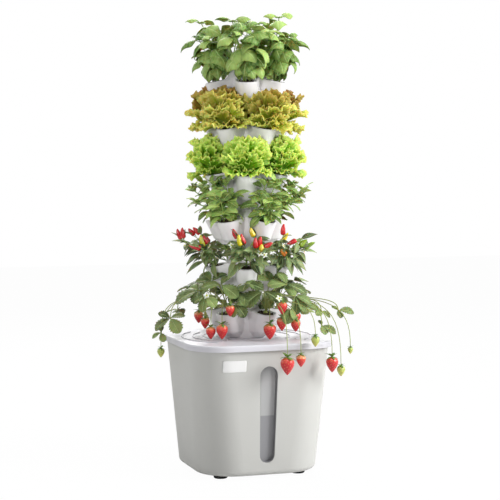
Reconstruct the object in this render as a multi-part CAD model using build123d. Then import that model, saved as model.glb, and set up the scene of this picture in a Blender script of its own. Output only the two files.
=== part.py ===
# Hydroponic growing tower: a tapered water tank with a flat lid, a stack of five-pocket tiers and the
# crops that grow in them. Millimetres, +Z up, the origin on the floor on the tower's axis. The tank's
# front wall, which holds the level window, faces -Y.
from build123d import *
import os
from math import atan2, cos, degrees, pi, radians, sin, sqrt

# Tank
TANK_TOP_SIDE = 376.0
TANK_BOTTOM_SIDE = 328.0
TANK_TOP_CORNER = 88.0
TANK_BOTTOM_CORNER = 104.0
TANK_HEIGHT = 339.0
TANK_WALL = 4.0
TANK_FLOOR = 5.0
TANK_EDGE_ROUND = 14.0
TANK_INNER_ROUND = 5.0
RIM_WIDTH = 4.5
RIM_THICKNESS = 4.0

# Feet
FOOT_DIAMETER = 36.0
FOOT_HEIGHT = 10.0
FOOT_EDGE = 2.0
FOOT_OFFSET = 106.0

# Level window in the front wall, wider at the top
WINDOW_TOP_WIDTH = 47.0
WINDOW_BOTTOM_WIDTH = 40.0
WINDOW_LENGTH = 252.0
WINDOW_ABOVE_BASE = 33.0
WINDOW_RECESS = 12.0
WINDOW_FRAME = 4.0
GASKET_THICKNESS = 1.5
GASKET_LIP = 1.2
GASKET_LIP_INSET = 2.0
PANE_THICKNESS = 3.0

# Lead grommet in the rear wall
GROMMET_BORE = 8.0
GROMMET_WALL = 3.0
GROMMET_FLANGE = 3.0
GROMMET_FLANGE_THICKNESS = 2.5
GROMMET_BELOW_RIM = 45.0

# Lid
LID_THICKNESS = 3.0
LID_OVERHANG = 10.0
LID_SKIRT = 16.0
LID_SKIRT_WALL = 3.0
LID_EDGE_ROUND = 5.0
LID_LIP_DEPTH = 10.0
LID_LIP_WALL = 2.5
LID_LIP_GAP = 1.0
LID_RIB_WIDTH = 4.0
LID_RIB_HEIGHT = 2.0
LID_RIB_ARC = 92.0
LID_RIB_RADII = (115.0, 143.5, 172.0)
LID_RING_RADIUS = 80.0

# Tiers
TIER_COUNT = 6
POCKET_COUNT = 5
TOWER_TURN = 18.5
TIER_PITCH = 120.0
TIER_WALL = 2.4
TIER_FLOOR = 3.0
COLUMN_BASE_RADIUS = 50.0
COLUMN_RADIUS = 54.0
SHOULDER_HEIGHT = 78.0
NECK_RADIUS = 41.0
NECK_HEIGHT = 98.0
SPIGOT_RADIUS = 34.0
SPIGOT_HEIGHT = 14.0
SPIGOT_LEAD = 1.5
SEAT_GAP = 0.3

# Pockets, each a sloping bowl on the column
POCKET_REACH = 84.0
POCKET_HALF_WIDTH = 29.0
POCKET_RIM_HEIGHT = 68.0
POCKET_TILT = 12.5
POCKET_KNEE_REACH = 66.0
POCKET_KNEE_HALF_WIDTH = 24.0
POCKET_KNEE_HEIGHT = 18.0
POCKET_FOOT_REACH = 55.0
POCKET_FOOT_HALF_WIDTH = 12.0
POCKET_FOOT_HEIGHT = 2.0
POCKET_ROOT = 26.0

# Net cups and the plugs of growing medium
CUP_DEPTH = 44.0
CUP_BOTTOM_RADIUS = 12.0
CUP_WALL = 1.2
CUP_FLOOR = 1.5
CUP_FLANGE_THICKNESS = 1.6
CUP_FLANGE_INSET = 0.6
CUP_GAP = 0.4
CUP_SLOTS = 6
CUP_SLOT_WIDTH = 4.0
CUP_SLOT_TOP = 12.0
CUP_SLOT_BOTTOM = 36.0
PLUG_DROP = 5.0
PLUG_GAP = 0.3

# Top cap
CAP_WALL = 2.4
CAP_SKIRT = 16.0
CAP_RISE = 12.0

# Pump on the tank's floor
PUMP_LENGTH = 62.0
PUMP_WIDTH = 46.0
PUMP_HEIGHT = 46.0
PUMP_ROUND = 5.0
PUMP_FOOT_HEIGHT = 8.0
PUMP_FOOT_RADIUS = 7.0
PUMP_FOOT_X = 22.0
PUMP_FOOT_Y = 15.0
ROTOR_RADIUS = 9.0
ROTOR_LENGTH = 30.0
ROTOR_GAP = 0.5
VOLUTE_RADIUS = 17.0
VOLUTE_DEPTH = 11.0
VANE_COUNT = 5
VANE_RADIUS = 15.0
VANE_LENGTH = 8.0
VANE_THICKNESS = 1.6
VANE_GAP = 1.0
SHAFT_RADIUS = 1.2
SHAFT_SEAT = 3.0
SHAFT_GAP = 0.25
COVER_DEPTH = 10.0
COVER_WALL = 2.0
COVER_SLOTS = 7
COVER_SLOT_WIDTH = 2.4
COVER_SLOT_PITCH = 5.0
COVER_SLOT_HEIGHT = 28.0
COVER_HUB_RADIUS = 4.0
GLAND_RADIUS = 6.0
GLAND_LENGTH = 8.0

# Riser pipe, fed from the pump's nozzle
NOZZLE_RADIUS = 8.0
NOZZLE_BORE = 5.0
NOZZLE_HEIGHT = 20.0
NOZZLE_FLANGE = 3.5
NOZZLE_FLANGE_THICKNESS = 3.0
PIPE_WALL = 1.5
PIPE_GAP = 0.2
PIPE_COUNT = 3
COUPLER_WALL = 2.0
COUPLER_LENGTH = 40.0
COUPLER_STOP = 2.0
SPRAY_RADIUS = 24.0
SPRAY_THICKNESS = 8.0
SPRAY_HOLES = 8
SPRAY_HOLE_RADIUS = 1.6
SPRAY_BELOW_TOP = 22.0
SPRAY_SOCKET = 12.0

# Plants: their stems and crowns, as (height over the pocket's rim, radius, lean outwards)
PLANT_LOBES = 7
LOBE_DEPTH = 0.8
STEM_RADIUS = 4.0
BASIL = ((20, 5, 0), (36, 30, 4), (62, 48, 8), (100, 56, 12), (138, 46, 13), (166, 14, 13))
RED_LETTUCE = ((2, 8, 0), (14, 34, 3), (40, 46, 8), (72, 42, 12), (98, 30, 14), (110, 10, 15))
GREEN_LETTUCE = ((2, 8, 0), (14, 34, 3), (38, 46, 8), (70, 42, 12), (94, 30, 14), (104, 10, 15))
MINT = ((8, 5, 0), (22, 26, 4), (46, 42, 9), (74, 41, 13), (98, 30, 15), (112, 9, 16))
CHILLI = ((14, 5, 0), (24, 30, 5), (46, 44, 10), (72, 40, 13), (88, 28, 15), (98, 10, 15))
STRAWBERRY = ((6, 6, 0), (22, 22, 4), (46, 36, 9), (72, 40, 13), (92, 30, 14), (102, 9, 15))
CROPS = (
    ("basil_plants", BASIL),
    ("red_lettuce_plants", RED_LETTUCE),
    ("green_lettuce_plants", GREEN_LETTUCE),
    ("mint_plants", MINT),
    ("chilli_plants", CHILLI),
    ("strawberry_plants", STRAWBERRY),
)

# Strawberry fruit and runners. Each fruit is (pocket, across, out, height over the lid, diameter) and
# each runner ends in a tuft of leaves at (pocket, across, out, height over the lid, radius). A berry's
# shoulder and waist are shares of its length and radius, and a tuft's rings of its height and radius.
BERRY_NECK = 3.0
BERRY_LENGTH_RATIO = 1.25
BERRY_SHOULDER_DEPTH = 0.3
BERRY_WAIST_DEPTH = 0.72
BERRY_WAIST_WIDTH = 0.62
STALK_RADIUS = 1.3
STALK_RISE = 34.0
STALK_DROP = 24.0
STALK_ARCH = 8.0
STALK_BEND = 0.4
RIPE_BERRIES = (
    (2, -107, 90, 59, 24),
    (2, -92, 114, 37, 26),
    (2, -68, 120, 44, 30),
    (2, -42, 121, 94, 24),
    (3, 60, 122, 46, 33),
    (3, 93, 92, 97, 26),
    (3, 91, 116, 62, 28),
    (3, 127, 100, 55, 26),
    (3, 103, 212, -29, 36),
    (3, 138, 186, -26, 25),
    (4, 219, 150, -36, 27),
    (0, 20, -128, 50, 30),
    (1, -128, -52, 60, 26),
    (4, 132, -56, 58, 28),
    (0, -40, -216, -22, 30),
)
GREEN_BERRIES = (
    (3, 175, 172, 20, 22),
    (4, 243, 128, -62, 22),
    (4, 268, 112, -16, 14),
    (1, -226, 16, -31, 20),
    (0, -12, -146, 84, 18),
)
TUFT_HEIGHT = 30.0
TUFT_RINGS = ((0.2, 0.8), (0.5, 1.0), (0.8, 0.7))
RUNNER_TUFTS = (
    (1, -205, 62, 56, 36),
    (4, 194, 76, 72, 28),
    (4, 256, 84, 88, 27),
    (4, 212, 114, 40, 26),
    (0, -96, -196, 62, 36),
    (1, -186, -84, 66, 32),
    (4, 168, -112, 64, 34),
)

# Chilli peppers on each crown, as (angle, reach from the crown's middle, height over the rim, tilt)
PEPPER_RADIUS = 5.0
PEPPER_TIP_RADIUS = 1.4
PEPPER_LENGTH = 30.0
PEPPERS = ((20, 12, 84, 8), (100, 16, 80, 14), (170, 14, 82, 10), (245, 16, 78, 14), (310, 18, 76, 16))

# Heights and angles that follow from the sizes above
TANK_TOP_Z = FOOT_HEIGHT + TANK_HEIGHT
TANK_FLOOR_Z = FOOT_HEIGHT + TANK_FLOOR
LID_TOP_Z = TANK_TOP_Z + LID_THICKNESS
LID_SIDE = TANK_TOP_SIDE + 2 * LID_OVERHANG
LID_CORNER = TANK_TOP_CORNER + LID_OVERHANG
WALL_TILT = degrees(atan2((TANK_TOP_SIDE - TANK_BOTTOM_SIDE) / 2, TANK_HEIGHT))
STACK_TOP_Z = LID_TOP_Z + TIER_COUNT * TIER_PITCH
CUP_RADIUS = POCKET_HALF_WIDTH - TIER_WALL - CUP_GAP
PIPE_BORE = NOZZLE_RADIUS + PIPE_GAP
PIPE_RADIUS = PIPE_BORE + PIPE_WALL
PUMP_BASE_Z = TANK_FLOOR_Z + PUMP_FOOT_HEIGHT
PUMP_TOP_Z = PUMP_BASE_Z + PUMP_HEIGHT
ROTOR_Z = PUMP_BASE_Z + PUMP_HEIGHT / 2
PUMP_FRONT_Y = -VOLUTE_DEPTH / 2
PUMP_Y = PUMP_FRONT_Y + PUMP_WIDTH / 2
SHAFT_END = VOLUTE_DEPTH + ROTOR_LENGTH + ROTOR_GAP + SHAFT_SEAT
SPRAY_Z = STACK_TOP_Z - SPRAY_BELOW_TOP
RISER_BASE_Z = PUMP_TOP_Z + NOZZLE_FLANGE_THICKNESS
PIPE_LENGTH = (SPRAY_Z - RISER_BASE_Z - (PIPE_COUNT - 1) * COUPLER_STOP) / PIPE_COUNT


def tank_section(z, inset=0.0):
    """The tank's rounded-square outline at a height, drawn in by an inset."""
    share = (z - FOOT_HEIGHT) / TANK_HEIGHT
    side = TANK_BOTTOM_SIDE + share * (TANK_TOP_SIDE - TANK_BOTTOM_SIDE)
    corner = TANK_BOTTOM_CORNER + share * (TANK_TOP_CORNER - TANK_BOTTOM_CORNER)
    return Pos(0, 0, z) * RectangleRounded(side - 2 * inset, side - 2 * inset, corner - inset)


def tank_half_side(z):
    """Half the tank's outer width at a height."""
    share = (z - FOOT_HEIGHT) / TANK_HEIGHT
    return (TANK_BOTTOM_SIDE + share * (TANK_TOP_SIDE - TANK_BOTTOM_SIDE)) / 2


def tub(bottom_z, top_z, inset, edge_round):
    """A tapered rounded-square block with a rounded bottom edge."""
    block = loft([tank_section(bottom_z, inset), tank_section(top_z, inset)], ruled=True)
    return fillet(block.edges().group_by(Axis.Z)[0], edge_round)


def window_slot(offset=0.0):
    """The level window's outline: two circles and their tangents, widened by an offset."""
    top_radius = WINDOW_TOP_WIDTH / 2
    bottom_radius = WINDOW_BOTTOM_WIDTH / 2
    half = WINDOW_LENGTH / 2
    top = Pos(0, half - top_radius) * Circle(top_radius + offset)
    bottom = Pos(0, bottom_radius - half) * Circle(bottom_radius + offset)
    return make_hull(top.edges() + bottom.edges())


def window_plane():
    """A plane on the front wall's outer face at the middle of the window, facing outwards."""
    middle_z = FOOT_HEIGHT + WINDOW_ABOVE_BASE + WINDOW_LENGTH / 2
    outward = (0, -cos(radians(WALL_TILT)), -sin(radians(WALL_TILT)))
    return Plane((0, -tank_half_side(middle_z), middle_z), x_dir=(1, 0, 0), z_dir=outward)


def window_ring(start, thickness):
    """A frame round the window's slot, from a depth behind the front face."""
    ring = window_slot(WINDOW_FRAME) - window_slot()
    return window_plane() * Pos(0, 0, -start - thickness) * extrude(ring, thickness)


def make_gasket():
    """The seal behind the recess, with a thin lip that lines the recess nearly to the front."""
    ring = window_ring(WINDOW_RECESS, GASKET_THICKNESS)
    depth = WINDOW_RECESS + GASKET_THICKNESS
    lip = extrude(window_slot() - window_slot(-GASKET_LIP), depth - GASKET_LIP_INSET)
    return ring + window_plane() * Pos(0, 0, -depth) * lip


def grommet_place():
    """The grommet's axis in the rear wall, facing outwards."""
    z = TANK_TOP_Z - GROMMET_BELOW_RIM
    outward = (0, cos(radians(WALL_TILT)), -sin(radians(WALL_TILT)))
    return Plane((0, tank_half_side(z), z), x_dir=(1, 0, 0), z_dir=outward)


def make_tank():
    """The tub with its rim, the recess round the level window and the lead's hole."""
    outside = tub(FOOT_HEIGHT, TANK_TOP_Z, 0.0, TANK_EDGE_ROUND)
    inside = tub(TANK_FLOOR_Z, TANK_TOP_Z, TANK_WALL, TANK_INNER_ROUND)
    rim_side = TANK_TOP_SIDE + 2 * RIM_WIDTH
    rim_outline = RectangleRounded(rim_side, rim_side, TANK_TOP_CORNER + RIM_WIDTH)
    rim = Pos(0, 0, TANK_TOP_Z - RIM_THICKNESS) * extrude(rim_outline, RIM_THICKNESS)
    frame = window_ring(TANK_WALL / 2, WINDOW_RECESS - TANK_WALL / 2)
    slot = window_plane() * Pos(0, 0, -WINDOW_RECESS) * extrude(window_slot(), 2 * WINDOW_RECESS)
    hole_radius = GROMMET_BORE / 2 + GROMMET_WALL
    hole = grommet_place() * Cylinder(hole_radius, 4 * TANK_WALL)
    return (outside + rim) - inside + frame - slot - hole


def make_window():
    """The frosted pane behind the recess."""
    depth = WINDOW_RECESS + GASKET_THICKNESS + PANE_THICKNESS
    return window_plane() * Pos(0, 0, -depth) * extrude(window_slot(WINDOW_FRAME), PANE_THICKNESS)


def make_foot():
    """One low rubber foot with a hollowed underside."""
    radius = FOOT_DIAMETER / 2
    profile = Polyline(
        (0, FOOT_HEIGHT),
        (radius, FOOT_HEIGHT),
        (radius, FOOT_EDGE),
        (radius - FOOT_EDGE, 0),
        (radius / 2, 0),
        (radius / 2, FOOT_EDGE),
        (0, FOOT_EDGE),
        close=True,
    )
    return turned(profile)


def turned(profile):
    """A solid of revolution about Z from a closed outline of (radius, height)."""
    return revolve(Plane.XZ * make_face(profile), Axis.Z)


def make_grommet():
    """A flanged rubber sleeve in the rear wall."""
    bore = GROMMET_BORE / 2
    sleeve = bore + GROMMET_WALL
    sleeve_body = Cylinder(sleeve, TANK_WALL, align=(Align.CENTER, Align.CENTER, Align.MAX))
    flange = Cylinder(
        sleeve + GROMMET_FLANGE,
        GROMMET_FLANGE_THICKNESS,
        align=(Align.CENTER, Align.CENTER, Align.MIN),
    )
    passage = Cylinder(bore, 4 * TANK_WALL)
    return grommet_place() * (sleeve_body + flange - passage)


def make_lid():
    """The flat lid: skirt, locating lip, raised ribs and the spigot that the tower stands on."""
    outline = RectangleRounded(LID_SIDE, LID_SIDE, LID_CORNER)
    block = Pos(0, 0, LID_TOP_Z - LID_SKIRT) * extrude(outline, LID_SKIRT)
    block = fillet(block.edges().group_by(Axis.Z)[-1], LID_EDGE_ROUND)
    inner_side = LID_SIDE - 2 * LID_SKIRT_WALL
    inner_outline = RectangleRounded(inner_side, inner_side, LID_CORNER - LID_SKIRT_WALL)
    hollow = Pos(0, 0, LID_TOP_Z - LID_SKIRT) * extrude(inner_outline, LID_SKIRT - LID_THICKNESS)
    lip_inset = TANK_WALL + LID_LIP_GAP
    lip_base_z = TANK_TOP_Z - LID_LIP_DEPTH
    lip_side = 2 * tank_half_side(lip_base_z) - 2 * lip_inset
    lip_corner = TANK_TOP_CORNER - lip_inset
    lip_outline = RectangleRounded(lip_side, lip_side, lip_corner) - RectangleRounded(
        lip_side - 2 * LID_LIP_WALL, lip_side - 2 * LID_LIP_WALL, lip_corner - LID_LIP_WALL
    )
    lip = Pos(0, 0, lip_base_z) * extrude(lip_outline, LID_LIP_DEPTH + LID_THICKNESS / 2)
    spigot_bore = SPIGOT_RADIUS - TIER_WALL
    spigot = Pos(0, 0, TANK_TOP_Z) * Cylinder(
        SPIGOT_RADIUS, LID_THICKNESS + SPIGOT_HEIGHT, align=(Align.CENTER, Align.CENTER, Align.MIN)
    )
    passage = Pos(0, 0, LID_TOP_Z) * Cylinder(spigot_bore, 4 * SPIGOT_HEIGHT)
    return block - hollow + lip + lid_ribs() + spigot - passage


def lid_ribs():
    """A full ring round the tower's base, and arcs on the left and right of the lid."""
    half = LID_RIB_WIDTH / 2
    outlines = [Circle(LID_RING_RADIUS + half) - Circle(LID_RING_RADIUS - half)]
    for radius in LID_RIB_RADII:
        for middle in (0, 180):
            arc = CenterArc((0, 0), radius, middle - LID_RIB_ARC / 2, LID_RIB_ARC)
            outlines.append(SlotArc(arc, LID_RIB_WIDTH))
    base_z = LID_TOP_Z - LID_THICKNESS / 2
    height = LID_THICKNESS / 2 + LID_RIB_HEIGHT
    return [Pos(0, 0, base_z) * extrude(outline, height) for outline in outlines]


def pocket_plane(depth=0.0):
    """The plane of the first pocket's mouth, leaning outwards, lowered by a depth."""
    tilt = radians(POCKET_TILT)
    normal = Vector(sin(tilt), 0, cos(tilt))
    middle = Vector(POCKET_REACH, 0, POCKET_RIM_HEIGHT)
    return Plane(middle - normal * depth, x_dir=(cos(tilt), 0, -sin(tilt)), z_dir=normal)


def pocket_outline(reach, half_width):
    """A slot from the column's inside to a rounded outer end, about the outer end's centre."""
    length = reach - POCKET_ROOT
    return Pos(-length / 2, 0) * SlotCenterToCenter(length, 2 * half_width)


def pocket_block(inset, mouth_depth, foot_rise):
    """The sloping bowl of one pocket, from its foot to its mouth, drawn in by an inset."""
    foot = Pos(POCKET_FOOT_REACH, 0, POCKET_FOOT_HEIGHT + foot_rise) * pocket_outline(
        POCKET_FOOT_REACH, POCKET_FOOT_HALF_WIDTH - inset
    )
    knee = Pos(POCKET_KNEE_REACH, 0, POCKET_KNEE_HEIGHT) * pocket_outline(
        POCKET_KNEE_REACH, POCKET_KNEE_HALF_WIDTH - inset
    )
    mouth = pocket_plane(mouth_depth) * pocket_outline(POCKET_REACH, POCKET_HALF_WIDTH - inset)
    return loft([foot, knee], ruled=True) + loft([knee, mouth], ruled=True)


def round_pockets(piece):
    """Five copies of a piece that belongs to the first pocket."""
    return [Rot(0, 0, k * 360 / POCKET_COUNT) * piece for k in range(POCKET_COUNT)]


def make_tier():
    """One tier: column, shoulder, neck and spigot with five open pockets, all one thin wall."""
    outer = Polyline(
        (0, 0),
        (COLUMN_BASE_RADIUS, 0),
        (COLUMN_RADIUS, SHOULDER_HEIGHT),
        (NECK_RADIUS, NECK_HEIGHT),
        (NECK_RADIUS, TIER_PITCH),
        (SPIGOT_RADIUS, TIER_PITCH),
        (SPIGOT_RADIUS, TIER_PITCH + SPIGOT_HEIGHT - SPIGOT_LEAD),
        (SPIGOT_RADIUS - SPIGOT_LEAD, TIER_PITCH + SPIGOT_HEIGHT),
        (0, TIER_PITCH + SPIGOT_HEIGHT),
        close=True,
    )
    socket = SPIGOT_RADIUS + SEAT_GAP
    spigot_bore = SPIGOT_RADIUS - TIER_WALL
    inner = Polyline(
        (0, -TIER_FLOOR),
        (socket, -TIER_FLOOR),
        (socket, TIER_FLOOR),
        (COLUMN_BASE_RADIUS - TIER_WALL, TIER_FLOOR),
        (COLUMN_RADIUS - TIER_WALL, SHOULDER_HEIGHT - TIER_WALL),
        (NECK_RADIUS - TIER_WALL, NECK_HEIGHT - TIER_WALL),
        (NECK_RADIUS - TIER_WALL, TIER_PITCH - TIER_WALL),
        (spigot_bore, TIER_PITCH - TIER_WALL),
        (spigot_bore, TIER_PITCH + 2 * SPIGOT_HEIGHT),
        (0, TIER_PITCH + 2 * SPIGOT_HEIGHT),
        close=True,
    )
    bowl = pocket_block(0.0, 0.0, 0.0)
    hollow = pocket_block(TIER_WALL, TIER_WALL, TIER_WALL)
    mouth = pocket_plane() * Cylinder(POCKET_HALF_WIDTH - TIER_WALL, 2 * TIER_WALL)
    shell = turned(outer) + round_pockets(bowl)
    return shell - turned(inner) - round_pockets(hollow) - round_pockets(mouth)


def make_cup():
    """One slotted net cup, hanging by its flange in the first pocket's mouth."""
    flange = POCKET_HALF_WIDTH - CUP_FLANGE_INSET
    profile = Polyline(
        (0, -CUP_DEPTH),
        (CUP_BOTTOM_RADIUS, -CUP_DEPTH),
        (CUP_RADIUS, 0),
        (flange, 0),
        (flange, CUP_FLANGE_THICKNESS),
        (CUP_RADIUS - CUP_WALL, CUP_FLANGE_THICKNESS),
        (CUP_RADIUS - CUP_WALL, 0),
        (CUP_BOTTOM_RADIUS - CUP_WALL, CUP_FLOOR - CUP_DEPTH),
        (0, CUP_FLOOR - CUP_DEPTH),
        close=True,
    )
    cup = turned(profile)
    slot_height = CUP_SLOT_BOTTOM - CUP_SLOT_TOP
    slot_middle = -(CUP_SLOT_TOP + CUP_SLOT_BOTTOM) / 2
    slot = Pos(0, 0, slot_middle) * Box(2 * CUP_RADIUS, CUP_SLOT_WIDTH, slot_height)
    slots = [Rot(0, 0, k * 360 / CUP_SLOTS) * slot for k in range(CUP_SLOTS // 2)]
    return pocket_plane() * (cup - slots)


def cup_inner_radius(depth):
    """The net cup's inner radius at a depth under its mouth."""
    fall = depth / (CUP_DEPTH - CUP_FLOOR)
    top = CUP_RADIUS - CUP_WALL
    return top + fall * (CUP_BOTTOM_RADIUS - CUP_RADIUS)


def make_plug():
    """One plug of growing medium, standing on the net cup's floor."""
    bottom = CUP_DEPTH - CUP_FLOOR
    profile = Polyline(
        (0, -bottom),
        (cup_inner_radius(bottom) - PLUG_GAP, -bottom),
        (cup_inner_radius(PLUG_DROP) - PLUG_GAP, -PLUG_DROP),
        (0, -PLUG_DROP),
        close=True,
    )
    return pocket_plane() * turned(profile)


def lobed_outline(height, radius, lean):
    """A star-shaped ring of leaf tips, parallel to the pocket's mouth."""
    corners = []
    for k in range(2 * PLANT_LOBES):
        angle = pi * k / PLANT_LOBES
        reach = radius if k % 2 == 0 else radius * LOBE_DEPTH
        corners.append((lean + reach * cos(angle), reach * sin(angle)))
    return Pos(0, 0, height) * make_face(Polyline(*corners, close=True))


def make_plant(crown):
    """One plant: a stem on the plug and a crown of leaves, as a lobed loft."""
    stem = [lobed_outline(-PLUG_DROP, STEM_RADIUS, 0)]
    rings = [lobed_outline(height, radius, lean) for height, radius, lean in crown]
    return pocket_plane() * loft(stem + rings, ruled=True)


def make_cap():
    """The domed cap over the top tier's spigot, a slice of a sphere on a short skirt."""
    outside = NECK_RADIUS
    inside = SPIGOT_RADIUS + SEAT_GAP
    top = CAP_SKIRT + CAP_RISE
    dome = (outside**2 + CAP_RISE**2) / (2 * CAP_RISE)
    ceiling = dome - CAP_WALL
    ceiling_edge = top - dome + sqrt(ceiling**2 - inside**2)
    outline = Polyline((inside, ceiling_edge), (inside, 0), (outside, 0), (outside, CAP_SKIRT))
    outline += RadiusArc((outside, CAP_SKIRT), (0, top), -dome)
    outline += Line((0, top), (0, top - CAP_WALL))
    outline += RadiusArc((0, top - CAP_WALL), (inside, ceiling_edge), ceiling)
    return Pos(0, 0, STACK_TOP_Z) * turned(outline)


def along_rotor(start, radius, length):
    """A rod on the rotor's axis, from a distance behind the pump's front face, towards +Y."""
    rod = Cylinder(radius, length, align=(Align.CENTER, Align.CENTER, Align.MIN))
    return Pos(0, PUMP_FRONT_Y + start, ROTOR_Z) * Rot(-90, 0, 0) * rod


def standing(radius, height):
    """A cylinder that stands on its own origin."""
    return Cylinder(radius, height, align=(Align.CENTER, Align.CENTER, Align.MIN))


def make_pump_body():
    """The pump's housing with the volute, the rotor's well, the outlet and the lead's gland."""
    block = Pos(0, PUMP_Y, PUMP_BASE_Z) * Box(
        PUMP_LENGTH, PUMP_WIDTH, PUMP_HEIGHT, align=(Align.CENTER, Align.CENTER, Align.MIN)
    )
    block = fillet(block.edges().filter_by(Axis.Y), PUMP_ROUND)
    gland = Pos(PUMP_LENGTH / 2, PUMP_Y, ROTOR_Z) * Rot(0, 90, 0) * standing(GLAND_RADIUS, GLAND_LENGTH)
    volute = along_rotor(0, VOLUTE_RADIUS, VOLUTE_DEPTH)
    well = along_rotor(0, ROTOR_RADIUS + ROTOR_GAP, VOLUTE_DEPTH + ROTOR_LENGTH + ROTOR_GAP)
    seat = along_rotor(0, SHAFT_RADIUS, SHAFT_END)
    outlet = Pos(0, 0, ROTOR_Z) * standing(NOZZLE_BORE, PUMP_HEIGHT)
    return block + gland - volute - well - seat - outlet


def make_intake_cover():
    """The slotted cover in front of the volute, with the hub that holds the shaft's front end."""
    shell = Pos(0, PUMP_FRONT_Y - COVER_DEPTH / 2, ROTOR_Z) * Box(
        PUMP_LENGTH - 2 * PUMP_ROUND, COVER_DEPTH, PUMP_HEIGHT - 2 * PUMP_ROUND
    )
    hollow = Pos(0, PUMP_FRONT_Y - (COVER_DEPTH - COVER_WALL) / 2, ROTOR_Z) * Box(
        PUMP_LENGTH - 2 * PUMP_ROUND - 2 * COVER_WALL,
        COVER_DEPTH - COVER_WALL,
        PUMP_HEIGHT - 2 * PUMP_ROUND - 2 * COVER_WALL,
    )
    cover = shell - hollow
    for k in range(COVER_SLOTS):
        across = (k - (COVER_SLOTS - 1) / 2) * COVER_SLOT_PITCH
        cover -= Pos(across, PUMP_FRONT_Y - COVER_DEPTH, ROTOR_Z) * Box(
            COVER_SLOT_WIDTH, 3 * COVER_WALL, COVER_SLOT_HEIGHT
        )
    hub = along_rotor(-COVER_DEPTH, COVER_HUB_RADIUS, COVER_DEPTH)
    return cover + hub - along_rotor(-SHAFT_SEAT, SHAFT_RADIUS, SHAFT_SEAT)


def make_impeller():
    """The magnet rotor with its hub and flat vanes, bored to turn on the shaft."""
    rotor = along_rotor(VOLUTE_DEPTH, ROTOR_RADIUS, ROTOR_LENGTH)
    hub = along_rotor(VANE_GAP, COVER_HUB_RADIUS, VOLUTE_DEPTH)
    vane_y = PUMP_FRONT_Y + VANE_GAP + VANE_LENGTH / 2
    vane = Pos(VANE_RADIUS / 2, 0, 0) * Box(VANE_RADIUS, VANE_LENGTH, VANE_THICKNESS)
    vanes = [
        Pos(0, vane_y, ROTOR_Z) * Rot(0, k * 360 / VANE_COUNT, 0) * vane for k in range(VANE_COUNT)
    ]
    bore = along_rotor(0, SHAFT_RADIUS + SHAFT_GAP, SHAFT_END)
    return rotor + hub + vanes - bore


def make_pump_foot():
    """One suction foot: a stem over a flared cup."""
    profile = Polyline(
        (0, 0),
        (PUMP_FOOT_RADIUS, 0),
        (PUMP_FOOT_RADIUS / 2, PUMP_FOOT_HEIGHT / 2),
        (PUMP_FOOT_RADIUS / 2, PUMP_FOOT_HEIGHT),
        (0, PUMP_FOOT_HEIGHT),
        close=True,
    )
    return Pos(0, 0, TANK_FLOOR_Z) * turned(profile)


def make_nozzle():
    """The pump's flanged outlet, which the riser slides over."""
    flange = standing(NOZZLE_RADIUS + NOZZLE_FLANGE, NOZZLE_FLANGE_THICKNESS)
    spout = standing(NOZZLE_RADIUS, NOZZLE_FLANGE_THICKNESS + NOZZLE_HEIGHT)
    bore = standing(NOZZLE_BORE, 2 * NOZZLE_HEIGHT)
    return Pos(0, 0, PUMP_TOP_Z) * (flange + spout - bore)


def pipe_start(k):
    """The height at which a length of the riser starts, counted from the pump."""
    return RISER_BASE_Z + k * (PIPE_LENGTH + COUPLER_STOP)


def make_pipe(k):
    """One length of the riser pipe."""
    tube = standing(PIPE_RADIUS, PIPE_LENGTH) - standing(PIPE_BORE, PIPE_LENGTH)
    return Pos(0, 0, pipe_start(k)) * tube


def make_coupler(k):
    """The sleeve over the joint above a length of the riser, with a stop between the ends."""
    bore = PIPE_RADIUS + PIPE_GAP
    half = COUPLER_LENGTH / 2
    profile = Polyline(
        (bore, -half),
        (bore + COUPLER_WALL, -half),
        (bore + COUPLER_WALL, half),
        (bore, half),
        (bore, COUPLER_STOP / 2),
        (PIPE_BORE, COUPLER_STOP / 2),
        (PIPE_BORE, -COUPLER_STOP / 2),
        (bore, -COUPLER_STOP / 2),
        close=True,
    )
    return Pos(0, 0, pipe_start(k + 1) - COUPLER_STOP / 2) * turned(profile)


def make_distributor():
    """The hollow disc on top of the riser that lets the water down into the top tier."""
    socket = PIPE_RADIUS + PIPE_GAP
    chamber = SPRAY_RADIUS - COUPLER_WALL
    profile = Polyline(
        (socket, -SPRAY_SOCKET),
        (socket + COUPLER_WALL, -SPRAY_SOCKET),
        (socket + COUPLER_WALL, 0),
        (SPRAY_RADIUS, 0),
        (SPRAY_RADIUS, SPRAY_THICKNESS),
        (0, SPRAY_THICKNESS),
        (0, SPRAY_THICKNESS - COUPLER_WALL),
        (chamber, SPRAY_THICKNESS - COUPLER_WALL),
        (chamber, COUPLER_WALL),
        (PIPE_BORE, COUPLER_WALL),
        (PIPE_BORE, 0),
        (socket, 0),
        close=True,
    )
    disc = turned(profile)
    hole_reach = (socket + COUPLER_WALL + chamber) / 2
    for k in range(SPRAY_HOLES):
        hole = Pos(hole_reach, 0, 0) * Cylinder(SPRAY_HOLE_RADIUS, 3 * COUPLER_WALL)
        disc -= Rot(0, 0, k * 360 / SPRAY_HOLES) * hole
    return Pos(0, 0, SPRAY_Z) * disc


def tier_place(tier):
    """Where a tier stands and how it is turned, counted from the top tier."""
    turn = -90 - TOWER_TURN + (tier - 1) * 180 / POCKET_COUNT
    return Pos(0, 0, LID_TOP_Z + (TIER_COUNT - tier) * TIER_PITCH) * Rot(0, 0, turn)


def hanging_berry(diameter):
    """One strawberry, hanging from its flat top at the origin."""
    radius = diameter / 2
    length = BERRY_LENGTH_RATIO * diameter
    tip = (0, -length)
    waist = (BERRY_WAIST_WIDTH * radius, -BERRY_WAIST_DEPTH * length)
    shoulder = (radius, -BERRY_SHOULDER_DEPTH * length)
    neck = (BERRY_NECK, 0)
    return turned(Polyline(neck, (0, 0), tip) + Spline(tip, waist, shoulder, neck))


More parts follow.
